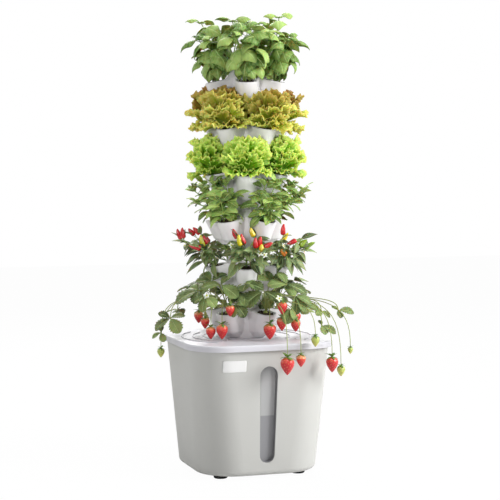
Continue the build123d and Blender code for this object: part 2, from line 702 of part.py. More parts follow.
def fruit_point(across, out, height):
    """A point in the tower's turned frame, whose -Y side is the one that the first pocket faces."""
    return (Rot(0, 0, -TOWER_TURN) * Pos(across, -out, LID_TOP_Z + height)).position


def make_stalk(pocket, end):
    """A stalk from a strawberry plant's crown, outwards in an arch and straight down to its end."""
    crown = pocket_plane(-STALK_RISE).origin
    start = (tier_place(TIER_COUNT) * Rot(0, 0, pocket * 360 / POCKET_COUNT) * Pos(*crown)).position
    bend = Vector(end.X, end.Y, max(start.Z, end.Z + STALK_DROP) + STALK_ARCH)
    runs = (bend - start).length, (end - bend).length
    path = FilletPolyline(start, bend, end, radius=STALK_BEND * min(runs))
    section = Plane(start, z_dir=path % 0) * Circle(STALK_RADIUS)
    return sweep(section, path)


def make_tuft(radius):
    """A tuft of leaves at a runner's end, hanging from its flat top at the origin."""
    top = lobed_outline(0, STEM_RADIUS, 0)
    bottom = lobed_outline(-TUFT_HEIGHT, STEM_RADIUS, 0)
    rings = [lobed_outline(-fall * TUFT_HEIGHT, reach * radius, 0) for fall, reach in TUFT_RINGS]
    return loft([top, *rings, bottom], ruled=True)


def make_peppers(plant):
    """The upright fruit of one chilli plant, cut where each grows out of the crown."""
    lean = CHILLI[-1][2]
    fruit = Cone(
        PEPPER_RADIUS,
        PEPPER_TIP_RADIUS,
        PEPPER_LENGTH,
        align=(Align.CENTER, Align.CENTER, Align.MIN),
    )
    peppers = []
    for angle, reach, height, tilt in PEPPERS:
        place = Pos(lean, 0, height) * Rot(0, 0, angle) * Pos(reach, 0, 0) * Rot(0, tilt, 0)
        peppers.append(pocket_plane() * place * fruit - plant)
    return peppers


def make_strawberry_fruit(plants):
    """Ripe fruit, green fruit and runner tufts, each under the end of its stalk."""
    crowns = Compound(children=plants)
    ripe, green, tufts, stalks = [], [], [], []
    for rows, made, shape in (
        (RIPE_BERRIES, ripe, hanging_berry),
        (GREEN_BERRIES, green, hanging_berry),
        (RUNNER_TUFTS, tufts, make_tuft),
    ):
        for pocket, across, out, height, size in rows:
            top = fruit_point(across, out, height)
            made.append(Pos(*top) * shape(size))
            stalks.append(make_stalk(pocket, top) - crowns)
    return ripe, green, tufts, stalks


def write(name, *pieces):
    """Write one node: a single solid, or a group of separate solids."""
    solids = [solid for piece in pieces for solid in piece.solids()]
    shape = solids[0] if len(solids) == 1 else Compound(children=solids)
    export_step(shape, os.path.join("parts", name + ".step"))


def four_corners(x, y):
    """The four places at plus and minus a pair of offsets."""
    return [Pos(sx * x, sy * y) for sx in (-1, 1) for sy in (-1, 1)]


def write_tank():
    write("tank", make_tank())
    write("level_window", make_window())
    write("window_gasket", make_gasket())
    write("tank_feet", *[place * make_foot() for place in four_corners(FOOT_OFFSET, FOOT_OFFSET)])
    write("lead_grommet", make_grommet())
    write("lid", make_lid())


def write_pump():
    write("pump_body", make_pump_body())
    write("pump_intake_cover", make_intake_cover())
    write("pump_impeller", make_impeller())
    write("pump_shaft", along_rotor(-SHAFT_SEAT, SHAFT_RADIUS, SHAFT_SEAT + SHAFT_END))
    corners = four_corners(PUMP_FOOT_X, PUMP_FOOT_Y)
    feet = [Pos(0, PUMP_Y) * corner * make_pump_foot() for corner in corners]
    write("pump_suction_feet", *feet)
    write("pump_nozzle", make_nozzle())
    for k, name in enumerate(("lower", "middle", "upper")):
        write("riser_pipe_" + name, make_pipe(k))
    for k, name in enumerate(("lower", "upper")):
        write("riser_coupler_" + name, make_coupler(k))
    write("water_distributor", make_distributor())


def write_tower():
    tier, cup, plug = make_tier(), make_cup(), make_plug()
    for number, (crop, crown) in enumerate(CROPS, start=1):
        place = tier_place(number)
        plant = make_plant(crown)
        write(f"tier_{number}", place * tier)
        write(f"net_cups_{number}", *[place * piece for piece in round_pockets(cup)])
        write(f"grow_plugs_{number}", *[place * piece for piece in round_pockets(plug)])
        plants = [place * piece for piece in round_pockets(plant)]
        write(crop, *plants)
        if crown is CHILLI:
            fruit = [copy for pepper in make_peppers(plant) for copy in round_pockets(pepper)]
            write("chilli_peppers", *[place * piece for piece in fruit])
        if crown is STRAWBERRY:
            ripe, green, tufts, stalks = make_strawberry_fruit(plants)
            write("ripe_strawberries", *ripe)
            write("green_strawberries", *green)
            write("strawberry_runner_leaves", *tufts)
            write("strawberry_stalks", *stalks)
    write("top_cap", make_cap())


os.makedirs("parts", exist_ok=True)
write_tank()
write_pump()
write_tower()
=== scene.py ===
# The looks of the hydroponic tower: finishes for its plastic pieces, and the crops that grow in it.
# Metres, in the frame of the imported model: +Z up, the tank's window faces -Y.
from math import atan2, cos, pi, radians, sin, sqrt

import bpy
import numpy as np
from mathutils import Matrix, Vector


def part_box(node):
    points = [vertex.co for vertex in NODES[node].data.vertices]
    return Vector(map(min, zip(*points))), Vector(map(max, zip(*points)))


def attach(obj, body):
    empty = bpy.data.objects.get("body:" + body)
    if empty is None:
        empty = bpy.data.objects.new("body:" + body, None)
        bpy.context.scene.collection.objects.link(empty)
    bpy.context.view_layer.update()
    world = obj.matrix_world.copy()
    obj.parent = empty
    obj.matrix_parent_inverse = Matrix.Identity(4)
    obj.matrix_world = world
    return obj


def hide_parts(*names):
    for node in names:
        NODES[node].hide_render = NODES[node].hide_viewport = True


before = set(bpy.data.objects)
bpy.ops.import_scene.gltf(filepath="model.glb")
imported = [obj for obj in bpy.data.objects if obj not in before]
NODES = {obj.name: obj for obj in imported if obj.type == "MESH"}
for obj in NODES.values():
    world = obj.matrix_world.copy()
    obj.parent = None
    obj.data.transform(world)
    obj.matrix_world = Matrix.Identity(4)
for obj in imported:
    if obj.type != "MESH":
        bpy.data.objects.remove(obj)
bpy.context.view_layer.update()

# Camera, as the photograph was taken
TOWER_TURN = radians(18.5)
CAMERA_DISTANCE = 4.148
CAMERA_HEIGHT = 0.858
CAMERA_PITCH = radians(3.84)
CAMERA_LENS = 113.4
CAMERA_SHIFT = 0.007

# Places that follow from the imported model
LID_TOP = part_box("tier_6")[0].z
TIER_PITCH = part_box("tier_5")[0].z - LID_TOP
TIER_COUNT = 6
POCKET_COUNT = 5


def tint(red, green, blue):
    """A linear colour from the 0 to 255 values that a screen shows."""
    shares = [value / 255 for value in (red, green, blue)]
    linear = [s / 12.92 if s < 0.04045 else ((s + 0.055) / 1.055) ** 2.4 for s in shares]
    return (*linear, 1.0)


# Materials

class Look:
    """The nodes of a material or a world, with the shader that they feed."""

    def __init__(self, owner, shader, **values):
        owner.use_nodes = True
        self.owner, self.tree = owner, owner.node_tree
        self.shader = self.tree.nodes[shader]
        self.feed(**values)

    def put(self, value, socket):
        """Link a socket to another node's output, or give it a plain value."""
        if isinstance(value, bpy.types.NodeSocket):
            self.tree.links.new(value, socket)
        else:
            socket.default_value = value

    def feed(self, **values):
        """Put values on the shader's sockets, named with underscores for spaces."""
        for name, value in values.items():
            self.put(value, self.shader.inputs[name.replace("_", " ")])

    def node(self, kind, inputs=None, **settings):
        """A new node, with its inputs linked or set."""
        node = self.tree.nodes.new("ShaderNode" + kind)
        for name, value in settings.items():
            setattr(node, name, value)
        for key, value in (inputs or {}).items():
            self.put(value, node.inputs[key])
        return node

    def math(self, operation, first, second=0.0):
        return self.node("Math", {0: first, 1: second}, operation=operation).outputs[0]

    def split(self, vector):
        return list(self.node("SeparateXYZ", {"Vector": vector}).outputs)

    def place(self):
        """The object's own coordinates."""
        return self.node("TexCoord").outputs["Object"]

    def noise(self, scale, detail=2.0):
        inputs = {"Vector": self.place(), "Scale": scale, "Detail": detail}
        return self.node("TexNoise", inputs).outputs["Fac"]

    def mapped(self, value, low, high):
        """A 0 to 1 value stretched between two numbers."""
        return self.node("MapRange", {"Value": value, "To Min": low, "To Max": high}).outputs["Result"]

    def ranged(self, value, low, high):
        """A value's way from one number to another, as 0 to 1."""
        return self.node("MapRange", {"Value": value, "From Min": low, "From Max": high}).outputs["Result"]

    def mixed(self, factor, first, second):
        """A blend of two colours, each another node's or 0 to 255 values."""
        node = self.node("Mix", data_type="RGBA")
        for key, value in (("Factor", factor), ("A", first), ("B", second)):
            value = tint(*value) if isinstance(value, tuple) else value
            self.put(value, next(s for s in node.inputs if s.name == key and s.enabled))
        return next(s for s in node.outputs if s.enabled)

    def ramp(self, value, places, colours):
        """A colour from a row of colours at their places."""
        node = self.node("ValToRGB", {"Fac": value})
        stripes = node.color_ramp.elements
        while len(stripes) < len(places):
            stripes.new(1.0)
        for stripe, place, colour in zip(stripes, places, colours):
            stripe.position = place
            stripe.color = tint(*colour)
        return node.outputs["Color"]

    def bump(self, height, strength, distance=0.001, invert=False, **more):
        inputs = {"Height": height, "Strength": strength, "Distance": distance, **more}
        return self.node("Bump", inputs, invert=invert).outputs["Normal"]

    def marks(self):
        """A corner's marks: along and across its leaf, and the leaf's own tone."""
        return self.split(self.node("Attribute", attribute_name="growth").outputs["Vector"])


def new_look(name, **values):
    """A new material with one Principled shader."""
    return Look(bpy.data.materials.new(name), "Principled BSDF", **values)


def moulded_plastic(name, colour, shade, grain, roughness):
    """Moulded plastic: a faint cloud of colour, a fine grain and softened edges."""
    look = new_look(name)
    edge = look.node("Bevel", {"Radius": 0.0008}, samples=4).outputs["Normal"]
    look.feed(
        Base_Color=look.mixed(look.noise(9.0), colour, shade),
        Roughness=look.mapped(look.noise(60.0), roughness - 0.05, roughness + 0.05),
        Normal=look.bump(look.noise(1400.0, 1.0), grain, 0.0003, Normal=edge),
    )
    return look.owner


def dress(material, *nodes):
    """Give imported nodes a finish."""
    for name in nodes:
        mesh = NODES[name].data
        mesh.materials.clear()
        mesh.materials.append(material)


def numbered(name):
    return [f"{name}_{k}" for k in range(1, TIER_COUNT + 1)]


RISER = (
    "riser_pipe_lower", "riser_pipe_middle", "riser_pipe_upper", "riser_coupler_lower", "riser_coupler_upper"
)
# Plastic and rubber: name, colour, shade, grain, roughness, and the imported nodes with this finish
PLASTICS = (
    ("tank", (199, 199, 195), (194, 194, 190), 0.35, 0.55, "tank"),
    ("lid", (210, 209, 215), (206, 205, 211), 0.1, 0.35, "lid"),
    ("tier", (243, 241, 242), (238, 236, 238), 0.08, 0.4, "top_cap", *numbered("tier")),
    ("cup", (236, 235, 236), (228, 227, 228), 0.1, 0.45, "pump_impeller", *numbered("net_cups")),
    ("pipe", (232, 232, 230), (226, 226, 224), 0.05, 0.35, *RISER, "water_distributor", "pump_shaft"),
    ("pump", (38, 38, 40), (30, 30, 32), 0.3, 0.5, "pump_body", "pump_intake_cover", "pump_nozzle"),
    ("seal", (52, 52, 52), (40, 40, 40), 0.4, 0.7, "lead_grommet", "pump_suction_feet"),
    # The window's gasket and its lip along the recess wall: the lip stands in for the shade on that wall, so
    # its mid grey is partly the rubber's own and partly painted shade
    ("window_seal_and_recess_shade", (132, 132, 134), (122, 122, 124), 0.3, 0.6, "window_gasket"),
    ("foot", (24, 24, 24), (16, 16, 16), 0.4, 0.65, "tank_feet"),
)
for name, colour, shade, grain, roughness, *nodes in PLASTICS:
    dress(moulded_plastic(f"{name}_finish", colour, shade, grain, roughness), *nodes)


# Shapes of growth: leaves, stems and fruit, drawn as grids of points

LEAF_THICKNESS = 0.0004
PETIOLE_RADIUS = 0.0008
POCKET_REACH = 0.084
POCKET_RIM = 0.068
POCKET_TILT = radians(12.5)
PLUG_DROP = 0.005
BOWL_HEIGHTS = (0.002, 0.018, 0.068)
BOWL_REACHES = (0.055, 0.066, 0.084)
BOWL_RADII = (0.012, 0.024, 0.0295)
COLUMN_HEIGHTS = (0.0, 0.078, 0.098, 0.12)
COLUMN_RADII = (0.050, 0.054, 0.041, 0.041)
CLEARANCE = 0.002
CUP_WALL = 0.004
# Faces of an octahedron whose corners are the two ends of its first axis, second axis and third
OCTAHEDRON = [(4, 0, 2), (4, 2, 1), (4, 1, 3), (4, 3, 0), (5, 2, 0), (5, 1, 2), (5, 3, 1), (5, 0, 3)]
# Places in the list of a plant's materials, of a fruit's, and of a piece's that has only one
BLADE, STEM, PETALS, HEART = range(4)
FLESH, SEEDS, RUFF = range(3)
ONLY = 0
# Outlines of leaves: the powers that shift a leaf's widest place and that thin its ends
OVATE, ELLIPTIC, LANCEOLATE, OBOVATE = (0.72, 0.85), (0.85, 0.75), (0.8, 1.15), (1.35, 0.62)


def unit(vector):
    return vector / np.maximum(np.linalg.norm(vector, axis=-1, keepdims=True), 1e-12)


def circle(count):
    return np.linspace(0, 2 * pi, count, endpoint=False)


def upward(height):
    return np.array([0, 0, height])


def heading(azimuth, rise=0.0):
    """A direction from an angle round the tower's axis and an angle over the horizon."""
    return np.array([cos(rise) * cos(azimuth), cos(rise) * sin(azimuth), sin(rise)])


# Directions in the photograph: to its right, and towards the camera
RIGHT = np.array([cos(TOWER_TURN), -sin(TOWER_TURN), 0])
NEAR = np.array([-sin(TOWER_TURN), -cos(TOWER_TURN), 0])


def seen(across, out, height):
    """A point by its place in the photograph: mm to the right, towards the camera, over the lid."""
    return (across * RIGHT + out * NEAR) / 1000 + upward(LID_TOP + height / 1000)


def pocket_turn(tier, pocket):
    """The angle round the tower's axis of a pocket, counted from the top tier."""
    return -pi / 2 - TOWER_TURN + (tier - 1) * pi / POCKET_COUNT + pocket * 2 * pi / POCKET_COUNT


def pocket_point(tier, pocket, height, out=0.0):
    """A point over the middle of a pocket's mouth, moved outwards by a distance."""
    turn = pocket_turn(tier, pocket)
    base = LID_TOP + (TIER_COUNT - tier) * TIER_PITCH + POCKET_RIM
    reach = POCKET_REACH + out + height * sin(POCKET_TILT)
    return np.array([reach * cos(turn), reach * sin(turn), base + height])


def clear_of_tower(points):
    """Push points out of the columns and bowls that they lie beside, and out of the cap's way up."""
    level = np.clip(np.floor((points[..., 2] - LID_TOP) / TIER_PITCH), 0, TIER_COUNT - 1)
    height = points[..., 2] - LID_TOP - level * TIER_PITCH
    beside = height >= 0
    place = points[..., :2].copy()
    distance = np.maximum(np.linalg.norm(place, axis=-1), 1e-6)
    column = np.interp(height, COLUMN_HEIGHTS, COLUMN_RADII) + CLEARANCE
    place *= np.where(beside & (distance < column), column / distance, 1.0)[..., None]
    reach = np.interp(height, BOWL_HEIGHTS, BOWL_REACHES)
    radius = np.interp(height, BOWL_HEIGHTS, BOWL_RADII) + CLEARANCE
    walled = beside & (height < POCKET_RIM)
    for pocket in range(POCKET_COUNT):
        turn = pocket_turn(TIER_COUNT - level, pocket)
        ahead = np.stack([np.cos(turn), np.sin(turn)], axis=-1)
        along = np.clip((place * ahead).sum(axis=-1), 0, reach)
        offset = place - along[..., None] * ahead
        gap = np.maximum(np.linalg.norm(offset, axis=-1), 1e-6)
        in_cup = (gap < radius - CUP_WALL) & (height > POCKET_RIM - 3 * CUP_WALL)
        push = np.where(walled & (gap < radius) & ~in_cup, radius / gap, 1.0)
        place = along[..., None] * ahead + offset * push[..., None]
    return np.concatenate([place, points[..., 2:]], axis=-1)


def lattice(first, second):
    """Two rows of values as grids of all their pairs."""
    return np.meshgrid(first, second, indexing="ij")


def of_pocket(rows, pocket):
    """What the rows that start with a pocket's number hold after it."""
    return [row[1:] for row in rows if row[0] == pocket]


def arch(*points, count=9):
    """A curve from the first of a few points to the last, drawn towards those between."""
    share = np.linspace(0, 1, count)[:, None]
    while len(points) > 1:
        points = [(1 - share) * start + share * end for start, end in zip(points, points[1:])]
    return points[0]


def between(start, end, flat, rise):
    """A point from start towards end, with one share of the way over the floor and another up."""
    return start + (end - start) * np.array([flat, flat, rise])


def placed(grid, origin, forward, up=(0, 0, 1)):
    """A leaf's grid moved to its place: its Y axis along forward, its upper side towards up."""
    ahead = unit(np.asarray(forward, float))
    side = unit(np.cross(ahead, up))
    return origin + grid @ np.stack([side, ahead, np.cross(side, ahead)])


def bent(side, ahead, lift, length, droop):
    """Flat leaf coordinates laid over an arc that turns down by an angle over the leaf's length."""
    turn = droop * ahead / length
    radius = length / droop
    reach = radius + lift
    return np.stack([side, reach * np.sin(turn), reach * np.cos(turn) - radius], axis=-1)


class Leaf:
    """The make of one kind of leaf: its outline, and how its blade folds, bulges and is toothed."""

    def __init__(self, outline, width, rows, columns, droop,
                 fold=0.0, cup=0.0, quilt=0.0, veins=6, teeth=0, bite=0.0):
        self.outline, self.width, self.rows, self.columns = outline, width, rows, columns
        self.droop, self.fold, self.cup, self.quilt = droop, fold, cup, quilt
        self.veins, self.teeth, self.bite = veins, teeth, bite

    def grid(self, length, rng):
        """The blade's upper side, with each corner's share along and across it."""
        along, across = lattice(np.linspace(0, 1, self.rows + 1), np.linspace(-1, 1, self.columns + 1))
        shift, thin = self.outline
        half = length * self.width / 2 * np.maximum(np.sin(pi * along**shift) ** thin, 0.03)
        if self.teeth:
            half = half * (1 - self.bite * np.mod(-along * self.teeth, 1.0))
        side = across * half
        ridge = np.abs(np.sin(pi * self.veins * (along - 0.3 * np.abs(across))))
        lift = self.fold * np.abs(side) - self.cup * side**2 / (self.width * length)
        lift = lift + self.quilt * ridge * (1 - across**2) - self.quilt * np.exp(-((across / 0.12) ** 2))
        droop = self.droop * rng.uniform(0.75, 1.25)
        return bent(side, along * length, lift, length, droop), along, across


class Growth:
    """A plant's mesh under construction, with marks on its corners that its materials read."""

    def __init__(self, seed):
        self.rng = np.random.default_rng(seed)
        self.points, self.faces, self.slots, self.marks = [], [], [], []
        self.total = 0

    def add(self, points, faces, slot, marks):
        """Corners with their marks (along, across, tone), and the faces between them."""
        self.points.append(points)
        self.faces += [[corner + self.total for corner in face] for face in faces]
        self.slots += [slot] * len(faces)
        self.marks.append(marks)
        self.total += len(points)

    def sheet(self, grid, slot, along, across, tone):
        """A thin closed sheet under a grid of points."""
        rows, columns = grid.shape[:2]
        normal = unit(np.cross(np.gradient(grid, axis=1), np.gradient(grid, axis=0)))
        count = rows * columns
        index = np.arange(count).reshape(rows, columns)
        corners = [index[:-1, :-1], index[:-1, 1:], index[1:, 1:], index[1:, :-1]]
        upper = np.stack(corners, axis=-1).reshape(-1, 4)
        rim = np.concatenate([index[0, :-1], index[:-1, -1], index[-1, :0:-1], index[:0:-1, 0]])
        following = np.roll(rim, -1)
        wall = np.stack([rim, rim + count, following + count, following], axis=-1)
        points = np.concatenate([grid.reshape(-1, 3), (grid - LEAF_THICKNESS * normal).reshape(-1, 3)])
        marks = np.stack([along, across, np.full(along.shape, tone)], axis=-1).reshape(-1, 3)
        faces = np.concatenate([upper, upper[:, ::-1] + count, wall])
        self.add(points, faces.tolist(), slot, np.concatenate([marks, marks]))

    def skin(self, rings, slot, along, tone):
        """A closed skin over a row of rings."""
        rows, sides = rings.shape[:2]
        index = np.arange(rows * sides).reshape(rows, sides)
        ahead = np.roll(index, -1, axis=1)
        quads = np.stack([index[:-1], ahead[:-1], ahead[1:], index[1:]], axis=-1).reshape(-1, 4)
        faces = quads.tolist() + [index[0, ::-1].tolist(), index[-1].tolist()]
        marks = np.zeros((rows * sides, 3))
        marks[:, 0] = np.repeat(along, sides)
        marks[:, 2] = tone
        self.add(rings.reshape(-1, 3), faces, slot, marks)

    def crumb(self, middle, axes, sizes, slot, along, tone):
        """A small octahedron round a point, by its three axes and its corners' sizes along them."""
        corners = middle + sizes * np.stack([axes, -axes], axis=1).reshape(-1, 3)
        self.add(corners, OCTAHEDRON, slot, np.tile([along, 0, tone], (len(corners), 1)))

    def tube(self, line, radii, slot, tone=0.5, sides=6):
        """A round stem along a line of points, with its radii spread evenly over it."""
        share = np.linspace(0, 1, len(line))
        radii = np.atleast_1d(radii)
        radii = np.interp(share, np.linspace(0, 1, len(radii)), radii)[:, None, None]
        ahead = unit(np.gradient(line, axis=0))
        spare = np.eye(3)[np.argmin(np.abs(ahead).max(axis=0))]
        side = unit(np.cross(ahead, spare))
        angle = circle(sides)[None, :, None]
        turn = side[:, None] * np.cos(angle) + np.cross(ahead, side)[:, None] * np.sin(angle)
        self.skin(line[:, None] + turn * radii, slot, share, tone)

    def leaf(self, make, origin, azimuth, rise, length, petiole=0.0, roll=0.0):
        """One leaf on its petiole, its upper side rolled outwards from the tower."""
        forward = heading(azimuth, rise)
        outward = unit(np.array([origin[0], origin[1], 0]))
        level = heading(azimuth)
        sway = np.cross(level, (0, 0, 1)) * self.rng.normal(0, 0.4) if roll else 0
        up = upward(1) + roll * (outward - (outward @ level) * level) + sway
        root = origin + petiole * forward
        if petiole:
            self.tube(np.linspace(origin, root + 0.1 * length * forward, 3), PETIOLE_RADIUS, STEM, 0.5, 5)
        self.blade(make, root, forward, length, BLADE, up)

    def blade(self, make, root, forward, length, slot, up=(0, 0, 1)):
        """One leaf's blade from its root along a direction."""
        grid, along, across = make.grid(length, self.rng)
        grid = clear_of_tower(placed(grid, root, forward, up))
        self.sheet(grid, slot, along, across, self.rng.uniform(0, 1))

    def build(self, name, materials, body, *nodes, slot):
        """The finished piece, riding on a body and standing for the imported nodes."""
        mesh = bpy.data.meshes.new(name)
        mesh.from_pydata(np.concatenate(self.points).tolist(), [], self.faces)
        marks = mesh.attributes.new("growth", "FLOAT_VECTOR", "POINT")
        marks.data.foreach_set("vector", np.concatenate(self.marks).astype(np.float32).ravel())
        for material in materials:
            mesh.materials.append(material)
        mesh.polygons.foreach_set("material_index", self.slots)
        mesh.shade_smooth()
        piece = bpy.data.objects.new(name, mesh)
        bpy.context.scene.collection.objects.link(piece)
        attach(piece, body)
        if nodes:
            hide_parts(*nodes)


# Paints for growth

LEAF_GLOSS = 0.22
LETTUCE_PLACES = (0.0, 0.35, 0.75, 1.0)


def leaf_paint(name, dark, light, vein, veins, roughness, relief):
    """A ribbed leaf: two greens in clouds and from leaf to leaf, with paler veins that stand out."""
    look = new_look(name, Roughness=roughness, Subsurface_Weight=0.2, Subsurface_Scale=0.002)
    along, across, tone = look.marks()
    side = look.math("ABSOLUTE", across)
    share = look.ranged(look.math("ADD", tone, look.noise(90.0, 3.0)), 0.4, 1.4)
    slant = look.math("SUBTRACT", along, look.math("MULTIPLY", side, 0.3))
    wave = look.math("SINE", look.math("MULTIPLY", slant, pi * veins))
    rib = look.ranged(look.math("ABSOLUTE", wave), 0.28, 0.05)
    lines = look.math("MAXIMUM", look.math("MULTIPLY", rib, 0.45), look.ranged(side, 0.1, 0.02))
    look.feed(
        Base_Color=look.mixed(lines, look.mixed(share, dark, light), vein),
        Normal=look.bump(lines, relief, invert=True),
        Specular_IOR_Level=LEAF_GLOSS,
    )
    return look.owner


def lettuce_paint(name, heart, outer):
    """A frilled leaf, from its pale rib to its margin, the heart's leaves apart from the outer ones. The
    darker middle and the bright frilled margin are partly the leaf's own colours and partly painted shade
    within the head and painted highlights on the frills.
    """
    look = new_look(name, Roughness=0.42, Subsurface_Weight=0.25, Subsurface_Scale=0.003)
    along, _, tone = look.marks()
    cloud = look.math("MULTIPLY", look.math("SUBTRACT", look.noise(110.0, 3.0), 0.5), 0.5)
    place = look.math("ADD", along, cloud)
    # The ramps carry painted shade in their dark middle stops and painted highlights in their bright margin
    # stops, over the leaves' own colours
    inner, rim = (look.ramp(place, LETTUCE_PLACES, colours) for colours in (heart, outer))
    look.feed(
        Base_Color=look.mixed(tone, inner, rim),
        Normal=look.bump(look.noise(420.0), 0.4),
        Specular_IOR_Level=LEAF_GLOSS,
    )
    return look.owner


def stem_paint(name, low, high):
    """A stem or a stalk, from its root's colour to its tip's."""
    look = new_look(name, Roughness=0.5, Subsurface_Weight=0.1, Subsurface_Scale=0.002)
    share = look.math("ADD", look.marks()[0], look.mapped(look.noise(200.0), -0.25, 0.25))
    look.feed(Base_Color=look.mixed(share, low, high))
    return look.owner


def fruit_paint(name, places, colours, roughness, sheen, by_length=0.0):
    """A glossy fruit whose colour follows its ripeness, or its length with a shift by its ripeness."""
    look = new_look(name, Roughness=roughness, Subsurface_Weight=0.12, Subsurface_Scale=0.003)
    along, _, place = look.marks()
    if by_length:
        shift = look.math("MULTIPLY", look.math("SUBTRACT", place, 1.0), by_length)
        place = look.math("ADD", along, shift)
    cloud = look.mapped(look.noise(160.0), -0.09, 0.09)
    colour = look.ramp(look.math("ADD", place, cloud), places, colours)
    look.feed(Base_Color=colour, Coat_Weight=sheen, Coat_Roughness=0.15)
    return look.owner


def crumb_paint(name, dark, light, scale, roughness):
    """A dull cloudy surface."""
    look = new_look(name, Roughness=roughness)
    colour = look.mixed(look.noise(scale, 4.0), dark, light)
    look.feed(Base_Color=colour, Normal=look.bump(look.noise(3 * scale, 3.0), 0.5))
    return look.owner


BASIL_PAINT = leaf_paint("basil_paint", (62, 100, 28), (158, 186, 100), (180, 204, 130), 6, 0.4, 0.5)
MINT_PAINT = leaf_paint("mint_paint", (36, 76, 18), (184, 214, 118), (206, 226, 154), 8, 0.42, 0.9)
CHILLI_PAINT = leaf_paint("chilli_paint", (36, 54, 26), (138, 158, 102), (166, 182, 130), 7, 0.36, 0.4)
STRAWBERRY_PAINT = leaf_paint(
    "strawberry_paint", (46, 64, 30), (142, 164, 98), (170, 188, 126), 8, 0.42, 0.8
)
SEPAL_PAINT = leaf_paint("sepal_paint", (66, 104, 40), (112, 148, 66), (136, 166, 92), 4, 0.5, 0.3)
PETAL_PAINT = leaf_paint("petal_paint", (240, 238, 222), (250, 249, 240), (236, 234, 208), 5, 0.5, 0.2)
# Lettuce colours from rib to margin: the leaves' own greens and bronzes, with the dark middle stops partly
# painted shade and the bright margin stops partly painted highlights
GREEN_LETTUCE_PAINT = lettuce_paint(
    "green_lettuce_paint",
    ((220, 230, 170), (138, 182, 52), (134, 184, 38), (218, 236, 124)),
    ((206, 220, 148), (116, 166, 40), (108, 164, 28), (206, 230, 110)),
)
RED_LETTUCE_PAINT = lettuce_paint(
    "red_lettuce_paint",
    ((208, 212, 138), (132, 144, 46), (132, 128, 40), (140, 112, 48)),
    ((220, 226, 156), (140, 156, 48), (158, 170, 44), (226, 226, 116)),
)
GREEN_STEM = stem_paint("green_stem", (120, 146, 66), (150, 176, 92))
STALK_PAINT = stem_paint("stalk_paint", (142, 148, 78), (158, 172, 92))
PEPPER_PAINT = fruit_paint(
    "pepper_paint", (0.0, 0.22, 0.38, 0.6, 0.85, 1.0),
    ((84, 124, 36), (150, 176, 44), (232, 210, 40), (230, 128, 30), (214, 40, 30), (196, 22, 30)), 0.25, 0.3
)
RIPE_PAINT = fruit_paint(
    "ripe_paint", (0.0, 0.1, 0.35, 1.0),
    ((236, 150, 98), (224, 76, 54), (206, 32, 36), (190, 20, 32)), 0.32, 0.25, 0.24
)
UNRIPE_PAINT = fruit_paint(
    "unripe_paint", (0.0, 0.5, 1.0), ((188, 204, 112), (184, 192, 96), (204, 196, 110)), 0.4, 0.1, 0.2
)
HEART_PAINT = crumb_paint("heart_paint", (190, 186, 60), (222, 214, 96), 900.0, 0.6)
SEED_PAINT = crumb_paint("seed_paint", (214, 176, 84), (236, 210, 124), 800.0, 0.45)
SOIL_PAINT = crumb_paint("soil_paint", (34, 26, 20), (78, 62, 46), 420.0, 0.9)


# Basil and mint: stems with crossed pairs of leaves

BASIL_LEAF = Leaf(OVATE, 0.76, 14, 8, droop=1.9, fold=-0.1, cup=0.9, quilt=0.0008, veins=5)
MINT_LEAF = Leaf(
    ELLIPTIC, 0.56, 24, 8, droop=1.0, fold=0.18, cup=0.1, quilt=0.0011, veins=8, teeth=8, bite=0.13
)
STEM_TURN = 2.4
STEM_RADII = (0.0022, 0.0012)
# Pairs on a stem, place of the first, leaf length, rise of the lowest and highest, roll, tip leaves' share
BASIL_HABIT = (5, 0.34, 0.058, -0.6, 0.55, 0.3, 0.3)
MINT_HABIT = (5, 0.3, 0.046, -0.5, 0.9, 0.7, 0.55)

# Stems that show: (pocket, across, towards the camera, height over the lid), of the stem's tip
BASIL_STEMS = (
    (4, -117, 40, 818), (4, -128, 30, 784), (4, -72, 50, 796), (4, -104, 80, 772),
    (0, -36, 90, 818), (0, 24, 92, 810), (0, 2, 126, 794), (0, -30, 120, 778), (0, 42, 112, 782),
    (1, 84, 40, 832), (1, 114, 40, 784), (1, 62, 70, 788), (1, 100, 76, 772),
    (2, 34, -72, 816), (2, 84, -90, 790), (2, 60, -126, 786),
    (3, -14, -78, 824), (3, -86, -84, 788), (3, -56, -126, 780),
)
MINT_STEMS = (
    (3, -112, 56, 382), (3, -84, 90, 400), (3, -54, 100, 404), (3, -40, 112, 372),
    (3, -66, 128, 360), (3, -128, 70, 352),
    (4, 46, 108, 400), (4, 76, 90, 404), (4, 108, 60, 388), (4, 36, 106, 366),
    (4, 60, 130, 358), (4, 136, 66, 366),
    (0, 150, -30, 382), (0, 120, -60, 396), (0, 110, 0, 364), (0, 80, -70, 374),
    (2, -140, -20, 384), (2, -112, -60, 396), (2, -96, 10, 368), (2, -70, -72, 374),
    (1, 0, -130, 392), (1, -40, -110, 380), (1, 36, -116, 386), (1, 4, -156, 360),
)


def crossed_pairs(growth, base, tip, make, habit):
    """A stem with crossed pairs of leaves, largest half way up, and a small rosette at its tip."""
    pairs, first, size, low, high, roll, rosette = habit
    rng = growth.rng
    line = arch(base, between(base, tip, 0.25, 0.6), tip)
    growth.tube(line, STEM_RADII, STEM)
    turn = rng.uniform(0, pi)
    for share in np.linspace(first, 1.0, pairs):
        origin = line[int(round(share * (len(line) - 1)))]
        climb = (share - first) / (1.0001 - first)
        fullness = 0.72 + 0.4 * sin(0.75 * pi * climb + 0.35) - max(0, share - 0.8)
        rise = low + (high - low) * share
        for side in (0, pi):
            azimuth = turn + side + rng.normal(0, 0.2)
            length = size * fullness * rng.uniform(0.85, 1.12)
            growth.leaf(make, origin, azimuth, rise + rng.normal(0, 0.15), length, 0.2 * size, roll=roll)
        turn += pi / 2 + rng.normal(0, 0.2)
    for k in range(4):
        growth.leaf(make, tip, turn + k * pi / 2, radians(58), rosette * size)


